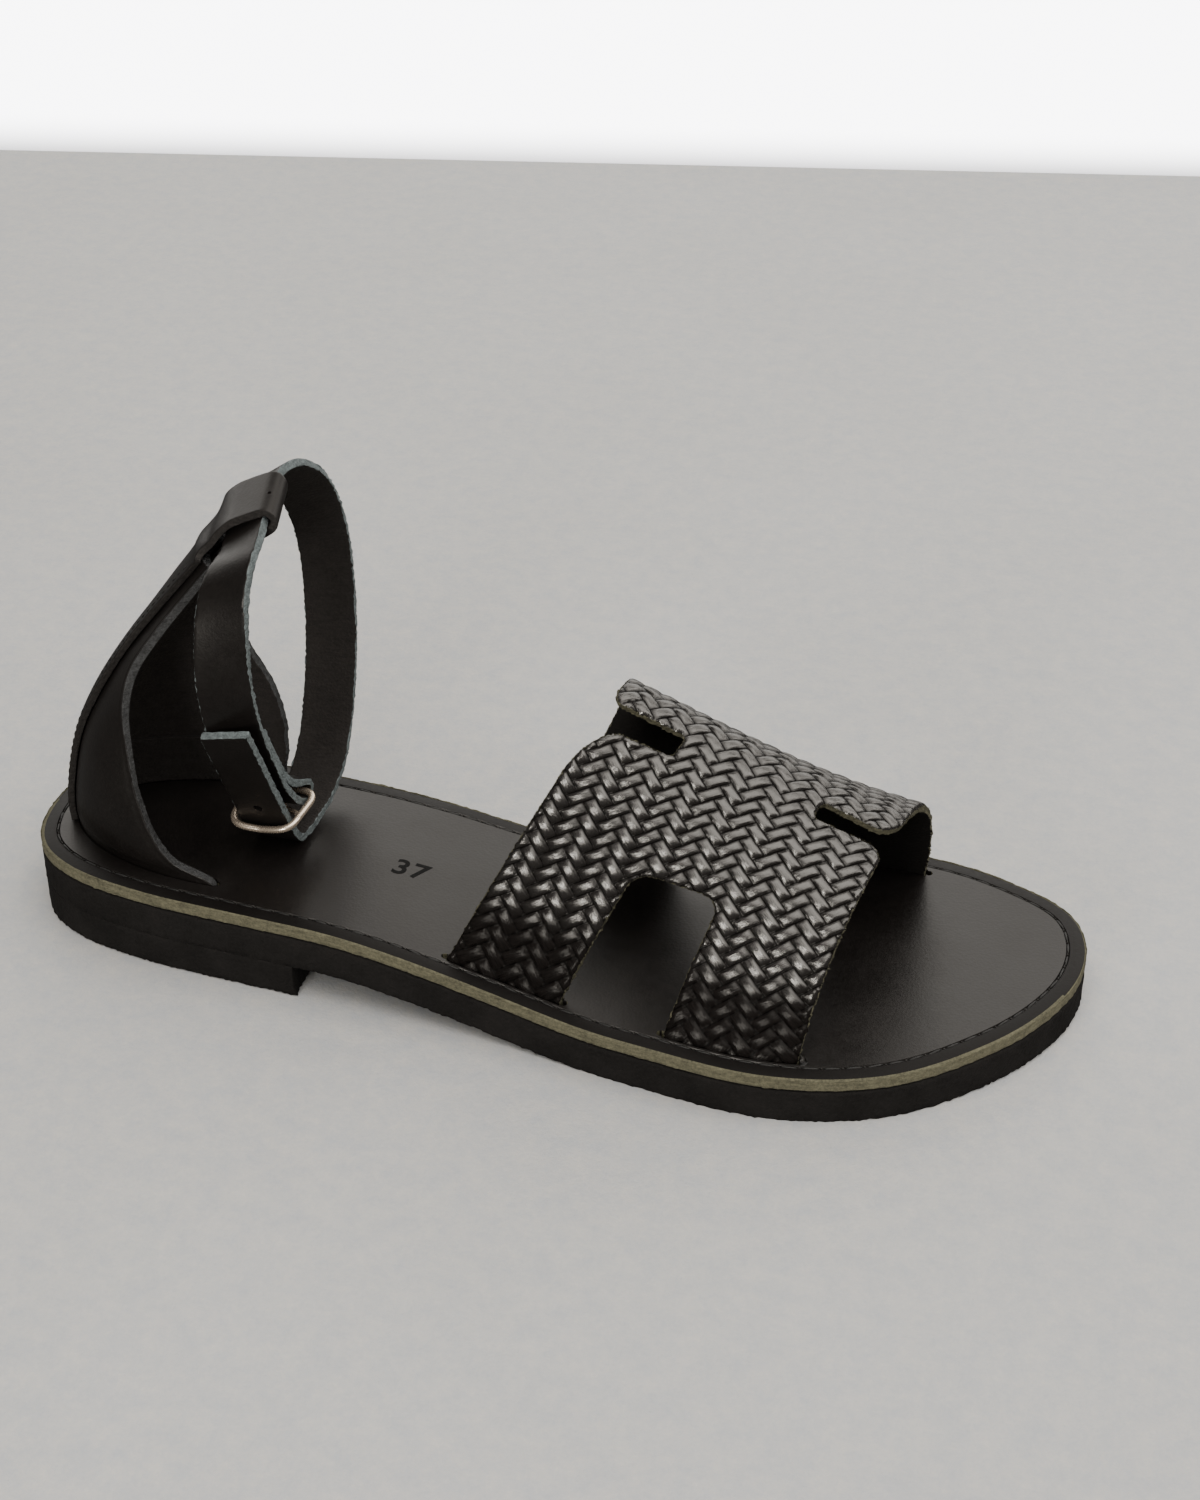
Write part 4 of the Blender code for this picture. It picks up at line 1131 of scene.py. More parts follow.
# ---------------------------------------------------------------- sole
SPINE = (34.0, 212.0)     # the middle line that the sole's faces close on
SPINE_ENDS = 10.0
SOLE_SHARP = 50.0
RUBBER_ROUGH = 0.045
OUTSOLE_FLAT = 12.0
OUTSOLE_LEVELS = (0.15, 1.5, 3.0, 4.5, 6.0, 7.2)
OUTSOLE_EASE = 0.35
OUTSOLE_RAGS = ((5, 1.0), (6, 0.7))         # rows of the cut edge and their shares
LIFT_MIDDLE = np.array((36.0, 0.0))
LIFT_UNDER = ((0.0, 1.0), (0.0, 0.5), (4.0, 0.0), (0.4, 0.0))
LIFT_LEVELS = (0.35, 1.4, 2.8, 4.2, 5.6, 7.0)
LIFT_SINK = 0.02          # how far the lift's top stays under the outsole
LIFT_EASE = (0.06, 0.1)
LIFT_RAGS = ((3, 1.0), (4, 0.8), (5, 0.3))
BURR_ROWS = ((3, 1.0), (4, 0.7), (5, 0.25))
BURR_LONG = 1.3
BURR_SPREAD = 1.2


def sole_rings(count, rings):
    """Rings of the sole from its edge inwards: each is an inset, a height function and the
    share of the way to the spine."""
    loop = sole_outline(count)
    inner = inward(loop)
    out = []
    for inset, height, share in rings:
        plan = loop + inner * inset
        if share > 0:
            t = (plan[:, 0] - SPINE_ENDS) / (LENGTH - 2 * SPINE_ENDS)
            spine_x = mix(*SPINE, np.clip(t, 0, 1))
            wide = sole_at_turn(turn_of(spine_x))
            spine = np.stack([spine_x, (wide[:, 1] - wide[:, 0]) / 2], 1)
            plan = mix(plan, spine, share)
        z = height(np.clip(plan[:, 0], 0, LENGTH))
        out.append(np.concatenate([plan, z[:, None]], 1))
    out = np.array(out)
    return np.concatenate([out, out[:, :1]], 1)


def raised(height, up):
    """The same surface, raised."""
    return lambda x: height(x) + up


def rough_rows(points, rows, amount, seed):
    """Roughens rows of a wrapped grid in plan and in height, its seam kept closed."""
    random = seeded(seed)
    for row in rows:
        shift = random.normal(0, amount, (points.shape[1], 3))
        shift[-1] = shift[0]
        points[row] += shift


def ragged_edge(points, amount, seed, shares):
    """Moves the rows at a cut edge in plan, each by its share of one raggedness."""
    ragged = seeded(seed).normal(0, amount, (points.shape[1], 2))
    ragged[-1] = ragged[0]
    for row, share in shares:
        points[row, :, :2] += ragged * share


def rubber_piece(name, points, finishes, node):
    """One finished piece of the rubber sole."""
    piece = wrapped(name, points)
    sharpen(piece, SOLE_SHARP)
    dress(piece, finishes["rubber"])
    settle(piece, "sole_rubber", node)


def make_outsole(finishes):
    """The rubber outsole, ragged along its cut lower edge."""
    top = OUTSOLE_THICK - FIT_GAP
    rings = [(OUTSOLE_FLAT, under_outsole, share) for share in (1.0, 0.6, 0.25)]
    rings += [(inset, under_outsole, 0) for inset in (8.0, 3.0, 0.1)]
    rings += [(0.0, raised(under_outsole, up), 0) for up in (*OUTSOLE_LEVELS, top - OUTSOLE_EASE)]
    rings += [(inset, raised(under_outsole, top), 0) for inset in (OUTSOLE_EASE, 3.0)]
    rings += [(OUTSOLE_FLAT, raised(under_outsole, top), share) for share in (0.0, 0.5, 1.0)]
    points = sole_rings(720, rings)
    rough_rows(points, range(6, 12), RUBBER_ROUGH, 3)
    ragged_edge(points, 0.12, 5, OUTSOLE_RAGS)
    rubber_piece("outsole_rubber", points, finishes, "outsole")


def make_heel_lift(finishes):
    """The lift with its straight breast, ragged where the rubber was trimmed."""
    loop = sole_outline(1440)
    behind = loop[loop[:, 0] < LIFT_FRONT]
    split = int(np.argmax(np.linalg.norm(np.diff(behind, axis=0), axis=1))) + 1
    side = np.concatenate([behind[split:], behind[:split]])
    breast = np.linspace(side[-1, 1], side[0, 1], 62)[1:-1]
    breast = np.stack([np.full(len(breast), LIFT_FRONT), breast], 1)
    plan = even_loop(np.concatenate([side, breast]), 420)
    inner = inward(plan)
    top = LIFT_HEIGHT - LIFT_SINK
    ease_in, ease_down = LIFT_EASE
    rows = [(mix(plan + inner * inset, LIFT_MIDDLE, share), 0.0) for inset, share in LIFT_UNDER]
    rows += [(plan, z) for z in (*LIFT_LEVELS, top - ease_down)]
    rows += [(plan + inner * ease_in, top)]
    rows += [(mix(plan, LIFT_MIDDLE, share), top) for share in (0.5, 1.0)]
    points = np.array([np.concatenate([p, np.full((len(p), 1), z)], 1) for p, z in rows])
    points = np.concatenate([points, points[:, :1]], 1)
    rough_rows(points, range(4, 11), RUBBER_ROUGH, 7)
    ragged_edge(points, 0.14, 8, LIFT_RAGS)
    corner = np.array((LIFT_FRONT, min(side[0, 1], side[-1, 1])))
    for row, share in BURR_ROWS:
        near = np.exp(-((points[row, :, :2] - corner) ** 2).sum(1) / BURR_SPREAD)
        points[row, :, 0] += near * share * BURR_LONG
    rubber_piece("heel_lift_rubber", points, finishes, "heel_lift")


# ---------------------------------------------------------------- footbed
FOOTBED_FLAT = 14.0
FOOTBED_UNDER = 0.3
FOOTBED_LEVELS = (0.3, 0.8, 1.3, 1.8, 2.3, 2.75)
FOOTBED_BEVEL = ((0.12, 0.62), (0.4, 0.44), (0.9, 0.33), (1.8, 0.18), (3.0, 0.03))
FOOTBED_ROUGH = 0.07
FOOTBED_SHARP = 55
RAW_BEVEL = (0.7, 0.35)   # raw leather seen from above, on the outer and the inner side
RAW_DEEP = 0.95
SLIT_BELOW = 6.0
SLIT_ABOVE = 1.6
COUNTER_SLIT = ((-1.006, 1.006), (15.2, 21.6))    # as shares round the heel, and heights
LEG_HOLE_PAST = 0.8       # from a leg's side to the middle of its punched hole
COUNTER_HOLES = ((-1.0, 1.1), (1.0, -1.1))
COUNTER_HOLE_PAST = 0.9
SEAM_SINK = 0.55          # share of the groove's depth that the thread lies down in it
THREAD = (4.0, 0.62)      # length and thickness of a stitch
NEEDLE = 0.5
NUMBER_AT = (89.0, -6.0)
NUMBER_SIZE = 7.8
NUMBER_THICK = 0.05
NUMBER_BOLD = 0.13
NUMBER_STRETCH = 1.05
NUMBER_SLANT = 0.05
NUMBER_LIFT = 0.005


def insole_low(x):
    """Height of the footbed's underside."""
    return insole_top(x) - INSOLE_THICK


def leg_slits():
    """Each leg's slit: from and to across the pattern, and 0 or 1 for its end."""
    rear = LEG_ARCH[0] - LEG_SPLAY + 0.6
    return [(a, b, side) for side in (0, 1)
            for a, b in ((0.0, rear), (LEG_ARCH[1], STRAP_WIDE))]


def slit_cutter(place, across, along, off):
    """A closed block cut along a slit, from and to three kinds of pattern places."""
    def ring(near, far):
        return np.concatenate([near, far[:, ::-1], near[:, :1]], 1)

    grid = np.meshgrid(np.linspace(*across, 24), np.linspace(*along, 9))
    inner, outer = [place(*grid, np.full(grid[0].shape, side)) for side in off]
    caps = [ring(edge, edge) for edge in (inner[:1], inner[-1:])]
    return wrapped("cutter", np.concatenate([caps[0], ring(outer, inner), caps[1]]))


def slit_end_holes():
    """Round holes punched at the ends of the straps' slits, as one cutter."""
    spots = [strap_middle(np.array(across), np.array(STRAP_LONG * side))
             for a, b, side in leg_slits() for across in (a - LEG_HOLE_PAST, b + LEG_HOLE_PAST)]
    spots += [counter_outside(np.array(COUNTER_FOOT), np.array(share))
              + np.array((COUNTER_HOLE_PAST, y, 0)) for share, y in COUNTER_HOLES]
    rods = [tube("cutter", [spot - (0, 0, 2.0), spot + (0, 0, 1.0)], PUNCH / 2, False, None, 4)
            for spot in spots]
    select(*rods)
    bpy.ops.object.join()
    return rods[0]


def carve_footbed(piece):
    """Cuts the slits of the strap's legs and of the counter, and their end holes."""
    half = STRAP_THICK / 2 + SLIT_CLEAR
    for a, b, side in leg_slits():
        along = (-SLIT_BELOW, SLIT_ABOVE)
        if side:
            along = (STRAP_LONG - SLIT_ABOVE, STRAP_LONG + SLIT_BELOW)
        carve(piece, slit_cutter(strap_point, (a - SLIT_CLEAR, b + SLIT_CLEAR), along,
                                 (-half, half)))
    carve(piece, slit_cutter(lambda a, b, off: counter_point(b, a, off), *COUNTER_SLIT,
                             (-COUNTER_THICK - SLIT_CLEAR, SLIT_CLEAR)))
    carve(piece, slit_end_holes())


def footbed_zones(piece):
    """The material slot of each face, from how high it is and how far from the edge."""
    centres = to_shoe(read_all(piece.data.polygons, "center"))
    up = read_all(piece.data.polygons, "normal")[:, 2]
    inset, _ = signed_distance(centres[:, :2], sole_outline(360))
    raw = np.where(centres[:, 1] < 0, *RAW_BEVEL)
    high = (inset > raw) & (up > -0.3) & (centres[:, 2] > insole_top(centres[:, 0]) - RAW_DEEP)
    return np.where(high, np.where(inset < GROOVE_IN - GROOVE_HALF, MARGIN, FACE),
                    np.where(up < -0.7, BACK, RIM))


def make_footbed(sizes, finishes):
    """The leather footbed: raw olive edge, a stitched groove and slits for the straps."""
    deep = sizes.groove_depth * 1000
    rings = [(FOOTBED_FLAT, insole_low, share) for share in (1.0, 0.5, 0.0)]
    rings += [(FOOTBED_UNDER, insole_low, 0)]
    rings += [(0.0, raised(insole_low, up), 0) for up in FOOTBED_LEVELS]
    rings += [(inset, raised(insole_top, -drop), 0) for inset, drop in FOOTBED_BEVEL]
    rings += [(GROOVE_IN + GROOVE_HALF * side, raised(insole_top, -drop), 0)
              for side, drop in ((-1.0, 0.0), (-0.5, deep), (0.5, deep), (1.0, 0.0))]
    rings += [(inset, insole_top, 0) for inset in (6.0, 9.0, FOOTBED_FLAT)]
    rings += [(FOOTBED_FLAT, insole_top, share)
              for share in (0.15, 0.3, 0.45, 0.6, 0.75, 0.9, 1.0)]
    points = sole_rings(620, rings)
    rough_rows(points, range(4, 10), FOOTBED_ROUGH, 11)
    piece = wrapped("footbed", points)
    carve_footbed(piece)
    zones = footbed_zones(piece)
    dress(piece, finishes["footbed"], finishes["flesh"], finishes["olive"], finishes["margin"])
    piece.data.polygons.foreach_set("material_index", zones.astype(np.int32))
    sharpen(piece, FOOTBED_SHARP)
    settle(piece, "footbed_leather", "insole")
    loop = sole_outline(1200)
    plan = closed_loop(loop + inward(loop) * GROOVE_IN)
    z = insole_top(plan[:, 0]) - deep * SEAM_SINK
    line = np.concatenate([plan, z[:, None]], 1)
    normals = np.tile(UPRIGHT, (len(line), 1))
    pitch = sizes.stitch_pitch * 1000
    piece = stitches("footbed_stitches", line, normals, pitch, *THREAD, finishes["thread"])
    settle(piece, "footbed_leather")
    piece = stitches("footbed_needle_holes", line, normals, pitch, NEEDLE, NEEDLE,
                     finishes["footbed"], pitch / 2)
    settle(piece, "footbed_leather")


def make_size_number():
    """The plain size number, pressed dark into the footbed."""
    text = primitive(bpy.ops.object.text_add, location=(0, 0, 0)).data
    text.body = "37"
    text.size = NUMBER_SIZE
    text.extrude = NUMBER_THICK
    text.offset = NUMBER_BOLD
    text.space_character = 1.1
    bpy.ops.object.convert(target="MESH")
    piece = bpy.context.object
    piece.name = "size_number"
    in_edit(piece, merging(1e-4))
    points = read_points(piece)
    x = NUMBER_AT[0] + points[:, 0] * NUMBER_STRETCH + points[:, 1] * NUMBER_SLANT
    y = NUMBER_AT[1] + points[:, 1]
    z = insole_top(x) + points[:, 2] + NUMBER_LIFT
    write_points(piece, to_row(np.stack([x, y, z], 1)))
    dress(piece, pressed_ink("pressed_number"))
    settle(piece, "footbed_leather")


# ---------------------------------------------------------------- front strap
BRAID_EVEN = 12.0         # steps upwards beyond which the braid is drawn out no more
BRAID_ROUNDS = 12
FLOAT_SIDE = (3.6, 0.55)
FLOAT_ARCH = (2.2, 0.8)
FLOAT_LEVEL = (0.93, 0.14)
SCATTER = (12.9898, 78.233, 43758.5453)
BLANK_MARGIN = (2, 12)
SNAP = 0.51               # cells from the outline within which the grid is moved onto it
# gloss of the braid, cut in its seams and near its feet as painted shade
SHINE_RISE = (0.1, 0.5)
SHINE_FOOT = (13.0, 10.0)
SHINE_LEAST = 0.07
EDGE_ROLL = 0.7           # how far in from its cut edge the strap is rounded
EDGE_DROP = 0.3
EDGE_FLAT = 0.35          # share of the relief that is left at the cut edge
RELIEF_SINK = 0.75
FIBRE_SIDE = 0.4


def braid_axes():
    """Pattern millimetres for one strand width along and across the braid's strands."""
    up = np.array((-BRAID_SKEW, BRAID_STEP)) / 2
    side = np.array((BRAID_PERIOD, 0.0)) / 4
    return up + side, up - side


def braid_draw(across, along):
    """How far the braid is drawn along the strap, at a place of the even braid."""
    step = (along - BRAID_START[1]) * 2 / BRAID_STEP
    band = (across - BRAID_START[0] + BRAID_SKEW / 2 * step) * 4 / BRAID_PERIOD
    front, both, foot = BRAID_OPENS
    step = np.minimum(step, BRAID_EVEN)
    return front * band ** 2 + both * band * step + foot * np.minimum(step, 0.0) ** 2


def braid_place(across, along):
    """Where a pattern point is in the braid, in strand widths both ways."""
    even = along
    for _ in range(BRAID_ROUNDS):
        even = along - braid_draw(across, even)
    back = np.linalg.inv(np.stack(braid_axes(), 1))
    spot = np.stack([across - BRAID_START[0], even - BRAID_START[1]], -1) @ back.T
    return spot[..., 0], spot[..., 1]


def braid_float(x, y, i, j):
    """Run along the float of cell i, j (0 to 2), run across it (0 to 1) and its number."""
    kind = np.mod(i - j, 4)
    first = kind < 2
    along = np.where(first, kind + (x - i), (3 - kind) + (y - j))
    across = np.where(first, y - j, x - i)
    start_i = np.where(first, i - kind, i)
    start_j = np.where(first, j, j - (3 - kind))
    one, two, three = SCATTER
    return along, across, np.mod(np.sin(start_i * one + start_j * two) * three, 1.0)


def swelling(way, power, root):
    """A rounded rise, full in the middle of a way from -1 to 1 and gone at its ends."""
    return np.clip(1 - np.abs(way) ** power, 0, 1) ** root


def braid_height(points):
    """How high the braid rises at pattern points, from 0 in its seams to about 1."""
    x, y = braid_place(points[:, 0], points[:, 1])
    p, q, number = braid_float(x, y, np.floor(x), np.floor(y))
    least, spread = FLOAT_LEVEL
    return (swelling(2 * q - 1, *FLOAT_SIDE) * swelling(p - 1, *FLOAT_ARCH)
            * (least + spread * number))


def braided_blank(outline):
    """The braid's own grid, trimmed to the strap's pattern, flat and in millimetres."""
    one, two = braid_axes()
    aside, beyond = BLANK_MARGIN
    corners = np.array([(a, b) for a in (-aside, STRAP_WIDE + aside)
                        for b in (-beyond, STRAP_LONG + beyond)], float)
    x, y = braid_place(corners[:, 0], corners[:, 1])
    low = np.floor([x.min(), y.min()])
    high = np.ceil([x.max(), y.max()])
    cells = ((high - low) * BRAID_CELLS).astype(int)
    piece = blank("braided_strap", int(cells[0]), int(cells[1]), high[0] - low[0],
                  high[1] - low[1], low)
    spots = read_points(piece)[:, :2]
    flat = spots[:, :1] * one + spots[:, 1:2] * two + np.array(BRAID_START)
    flat[:, 1] += braid_draw(flat[:, 0], flat[:, 1])
    gap, nearest = signed_distance(flat, outline)
    on = np.abs(gap) < SNAP * max(np.linalg.norm(one), np.linalg.norm(two)) / BRAID_CELLS
    flat[on] = nearest[on]
    gap[on] = 0.0
    trim_blank(piece, flat, gap)
    return piece


def trim_blank(piece, flat, gap):
    """Leaves the blank's cells inside the outline; a cell with one corner out is halved."""
    quads = np.array([list(face.vertices) for face in piece.data.polygons])
    out = gap[quads] < 0
    keep = quads[(out.sum(1) == 0) & ((gap[quads] > 0).sum(1) > 0)]
    halves = quads[out.sum(1) == 1]
    lost = np.argmax(out[out.sum(1) == 1], axis=1)
    rest = np.array([[(k + 1) % 4, (k + 2) % 4, (k + 3) % 4] for k in range(4)])[lost]
    thirds = np.take_along_axis(halves, rest, 1)
    thirds = thirds[(gap[thirds] > 0).sum(1) > 0]
    faces = keep.tolist() + thirds.tolist()
    used = np.unique(np.concatenate([keep.ravel(), thirds.ravel()]))
    order = np.full(len(flat), -1)
    order[used] = np.arange(len(used))
    points = np.concatenate([flat[used], np.zeros((len(used), 1))], 1)
    piece.data.clear_geometry()
    piece.data.from_pydata(points.tolist(), [], [[int(order[v]) for v in face] for face in faces])
    piece.data.update()
    in_edit(piece, merging(0.01))


def strand_maps(piece):
    """Per-corner place on the strand, a number for each float, and how glossy it is: gloss is cut
    in the seams and near the strap's feet as painted shade.
    """
    mesh = piece.data
    points = read_points(piece)
    layer = mesh.uv_layers.new(name="strand")
    number_at = mesh.attributes.new("strand_number", "FLOAT", "FACE")
    x, y = braid_place(points[:, 0], points[:, 1])
    centres = read_all(mesh.polygons, "center")
    cells = np.floor(braid_place(centres[:, 0], centres[:, 1]))
    totals = read_all(mesh.polygons, "loop_total", np.int32, 1)
    corner = read_all(mesh.loops, "vertex_index", np.int32, 1)
    p, q, number = braid_float(x[corner], y[corner], *np.repeat(cells, totals, axis=1))
    layer.data.foreach_set("uv", np.stack([p, np.clip(q, 0, 1)], 1).astype(np.float32).ravel())
    first = np.concatenate([[0], np.cumsum(totals)[:-1]])
    number_at.data.foreach_set("value", number[first].astype(np.float32))
    # painted shade: the gloss falls away into the seams and near the strap's feet
    shine_at = mesh.attributes.new("strand_shine", "FLOAT", "POINT")
    from_foot = np.minimum(points[:, 1], STRAP_LONG - points[:, 1])
    from_seam = braid_height(points) - SHINE_RISE[0]
    shine = (np.clip(from_seam / SHINE_RISE[1], 0, 1)
             * np.clip((from_foot - SHINE_FOOT[0]) / SHINE_FOOT[1], SHINE_LEAST, 1.0))
    shine_at.data.foreach_set("value", shine.astype(np.float32))


def raise_braid(piece, outline, relief):
    """Lifts the strands of the outer face and rounds the face down to its cut edge."""
    points = read_points(piece)
    gap, _ = signed_distance(points[:, :2], outline)
    edge = np.clip(np.maximum(gap, 0.0) / EDGE_ROLL, 0, 1)
    edge = edge * (2 - edge)
    swell = relief * braid_height(points) * (EDGE_FLAT + (1 - EDGE_FLAT) * edge)
    face_z = STRAP_THICK / 2 - relief * RELIEF_SINK - (1 - edge) * EDGE_DROP + swell
    top = points[:, 2] > STRAP_THICK / 2 - 1e-4
    points[:, 2] = np.where(top, face_z, points[:, 2])
    write_points(piece, points)


def make_front_strap(sizes, finishes):
    """The braided strap: cut flat with its arches and slots, then bent over the foot."""
    outline = strap_outline()
    piece = braided_blank(outline)
    thicken(piece, STRAP_THICK, 0.0, 3)
    strand_maps(piece)
    raise_braid(piece, outline, sizes.braid_relief * 1000)
    fuzz_edge(piece, EDGE_FUZZ, 21)
    form(piece, strap_point)
    # the strap's underside takes the darker flesh copy, as painted shade
    dress(piece, finishes["braid"], finishes["back"], finishes["khaki"])
    sharpen(piece)
    settle(piece, "woven_leather", "front_strap")
    make_strap_fibres(outline, finishes)


def make_strap_fibres(outline, finishes):
    """Loose fibres at the cut edge of the braided strap, above the footbed."""
    along = np.diff(closed_loop(outline), axis=0)
    lengths = np.linalg.norm(along, axis=1)
    random = seeded(22)
    edge = random.choice(len(along), STRAP_FIBRES, p=lengths / lengths.sum())
    spot = outline[edge] + along[edge] * random.uniform(0, 1, (STRAP_FIBRES, 1))
    out = unit(np.stack([along[edge, 1], -along[edge, 0]], 1))
    inside, _ = signed_distance(spot + out * 0.2, outline)
    out *= np.where(inside > 0, -1, 1)[:, None]
    off = random.uniform(-FIBRE_SIDE, FIBRE_SIDE, STRAP_FIBRES) * STRAP_THICK
    root = strap_point(spot[:, 0], spot[:, 1], off)
    tip = strap_point(spot[:, 0] + out[:, 0] * 0.3, spot[:, 1] + out[:, 1] * 0.3, off)
    keep = root[:, 2] > insole_top(root[:, 0]) + 0.6
    loose = fibres("front_strap_fibres", root[keep], (tip - root)[keep], 0.38,
                   finishes["khaki"], 23)
    settle(loose, "woven_leather")


# ---------------------------------------------------------------- heel counter
COUNTER_TOP = 97.0
COUNTER_HALF = 60.0       # half of the flat blank, across
COUNTER_PAST = 1.004
COUNTER_ROUND = 0.25
LAYER_LINE = 1.7          # from the front edge to the line between the two layers
LAYER_DEEP = 0.16
LAYER_WIDE = 0.45
LINING_HALF = 57.0
LINING_LOW = 20.6
LINING_TALL = 13.5
LINING_THICK = 0.7
LINING_GAP = 0.45
LINING_WAVE = (0.8, 2.4)


def make_counter(finishes):
    """The heel counter, its two layers showing along the raw front edges."""
    foot = COUNTER_FOOT - INSOLE_THICK
    piece = blank("counter_leather", 120, 96, 2 * COUNTER_HALF, COUNTER_TOP - foot,
                  (-COUNTER_HALF, foot))
    thicken(piece, COUNTER_THICK, COUNTER_ROUND, 3)
    fuzz_edge(piece, EDGE_FUZZ * 0.8, 31)
    points = read_points(piece)
    from_front = COUNTER_HALF - np.abs(points[:, 0])
    dent = LAYER_DEEP * np.exp(-((from_front - LAYER_LINE) / LAYER_WIDE) ** 2)
    points[:, 2] -= np.where(points[:, 2] > 0.9, dent, 0.0)
    write_points(piece, points)

    def place(a, b, off):
        return counter_point(b, np.clip(a / COUNTER_HALF, -COUNTER_PAST, COUNTER_PAST),
                             off - COUNTER_THICK / 2)

    form(piece, place)
    dress(piece, finishes["skin"], finishes["flesh"], finishes["dim"])
    sharpen(piece)
    settle(piece, "counter_leather", "heel_counter")


def make_heel_lining(finishes):
    """The thin lining round the inside of the heel, its upper edge cut in a wave."""
    piece = blank("heel_lining", 110, 16, 2 * LINING_HALF, LINING_TALL,
                  (-LINING_HALF, LINING_LOW))
    thicken(piece, LINING_THICK, 0.1, 1)
    high, turns = LINING_WAVE

    def place(a, b, off):
        wave = high * np.cos(a / LINING_HALF * turns)
        return counter_point(b + wave * (b - LINING_LOW) / LINING_TALL, a / COUNTER_HALF,
                             off - COUNTER_THICK - LINING_GAP)

    form(piece, place)
    # the lining's edge takes the darker flesh copy, as painted shade
    dress(piece, finishes["flesh"], finishes["flesh"], finishes["back"])
    settle(piece, "counter_leather")


# ---------------------------------------------------------------- strip and strap
STRIP_WIDE = 2 * STRIP_HALF
STRIP_CELL = 0.8
STRIP_ROUND = 0.25
STRIP_FUZZ = 0.07
STRIP_SEAM_IN = 1.6
STRIP_SEAM_END = 2.0      # how far below the top of the counter the seams stop
STRIP_SEAM_ROW = 10
STRIP_STITCH = (2.3, 1.7, 0.4)                # pitch, length and thickness
PRICK_ROUND = 0.4
ANKLE_CELL = 0.75
ANKLE_ROUND = 0.22


def pair_surface(rows):
    """A surface through rows of outer and inner points: reads at row, column and side."""
    count, across = rows.shape[0], rows.shape[1]
    run = run_along(rows[:, across // 2].mean(1))

    def place(column, distance, side):
        flat = rows.reshape(count, -1)
        here = smooth_rows(run, flat, distance).reshape(*distance.shape, across, 2, 3)
        spot = np.clip(column, 0, 1) * (across - 1)
        i = np.clip(np.floor(spot).astype(int), 0, across - 2)
        t = (spot - i)[..., None, None]
        index = np.arange(len(distance))
        before = here[index, np.maximum(i - 1, 0)]
        a, b = here[index, i], here[index, i + 1]
        after = here[index, np.minimum(i + 2, across - 1)]
        m = (b - before) / np.where(i > 0, 2.0, 1.0)[..., None, None]
        n = (after - a) / np.where(i < across - 2, 2.0, 1.0)[..., None, None]
        pair = hermite(t, a, b, m, n)
        return mix(pair[:, 1], pair[:, 0], ((side + 1) / 2)[..., None])

    return place, run


def make_back_strip(finishes):
    """The strip up the heel and over into the tunnel, with a stitch line down each side."""
    place, run = pair_surface(strip_rows())
    long = float(run[-1])
    half = STRIP_THICK / 2
    piece = blank("back_strip_leather", 22, int(long / STRIP_CELL), STRIP_WIDE, long)
    thicken(piece, STRIP_THICK, STRIP_ROUND, 2)
    fuzz_edge(piece, STRIP_FUZZ, 41)

    def bent(a, b, off):
        return place(a / STRIP_WIDE, np.clip(b, 0, long), off / half)

    form(piece, bent)
    spot = np.array((PIN_PRICK, PIN_PRICK))
    depth = bent(spot[:, 0], spot[:, 1], np.array((half + 0.4, half - 0.5)))
    carve(piece, tube("cutter", depth, PRICK_ROUND, False, None, 2))
    dress(piece, finishes["strap"], finishes["flesh"], finishes["black"])
    sharpen(piece)
    settle(piece, "strap_leather", "back_strip")
    b = np.linspace(1.0, float(run[STRIP_SEAM_ROW]) - STRIP_SEAM_END, 200)
    for side, name in ((STRIP_SEAM_IN, "outer"), (STRIP_WIDE - STRIP_SEAM_IN, "inner")):
        a = np.full(len(b), side)
        line = bent(a, b, np.full(len(b), half - 0.02))
        normal = unit(line - bent(a, b, np.full(len(b), -half)))
        sewn = stitches("strip_stitches_" + name, line, normal, *STRIP_STITCH,
                        finishes["thread"])
        settle(sewn, "strap_leather")


def ankle_place():
    """Turns places of the strap's flat pattern into shoe points; and the strap's length."""
    middle, width, outward, thick, along = ankle_frames()
    run = run_along(middle)
    table = np.concatenate([middle, width, outward, thick[:, None], along], 1)

    def place(a, b, off):
        here = read_line(b, run, table)
        spot = here[:, :3] + here[:, 3:6] * a[:, None]
        spot = spot + here[:, 6:9] * (off * here[:, 9] / ANKLE_THICK)[:, None]
        left = np.clip(1 - (run[-1] - b) / (3 * END_SLANT), 0, 1)
        back = END_SLANT * left * np.clip(0.5 - a / ANKLE_WIDE, 0, 1)
        return spot - here[:, 10:13] * back[:, None]

    return place, float(run[-1])


def pin_slot():
    """A block cut through the fold of the strap, where the pin goes round its bar."""
    low, high = np.array(PIN_SLOT_LOW), np.array(PIN_SLOT_HIGH)
    piece = primitive(bpy.ops.mesh.primitive_cube_add, size=1.0)
    write_points(piece, to_row((low + high) / 2 + read_points(piece) * (high - low)))
    return piece


def free_hole():
    """A rod through the free end, where its hole is punched."""
    start = np.array(FREE_END[0][:3])
    along = unit(np.array(FREE_END[1][:3]) - start)
    out = np.array((0.0, -along[2], along[1])) * (ANKLE_THICK * 1.1)
    spot = start + along * FREE_HOLE
    return tube("cutter", [spot - out, spot + out], HOLE_WIDE / 2, False, None, 6)


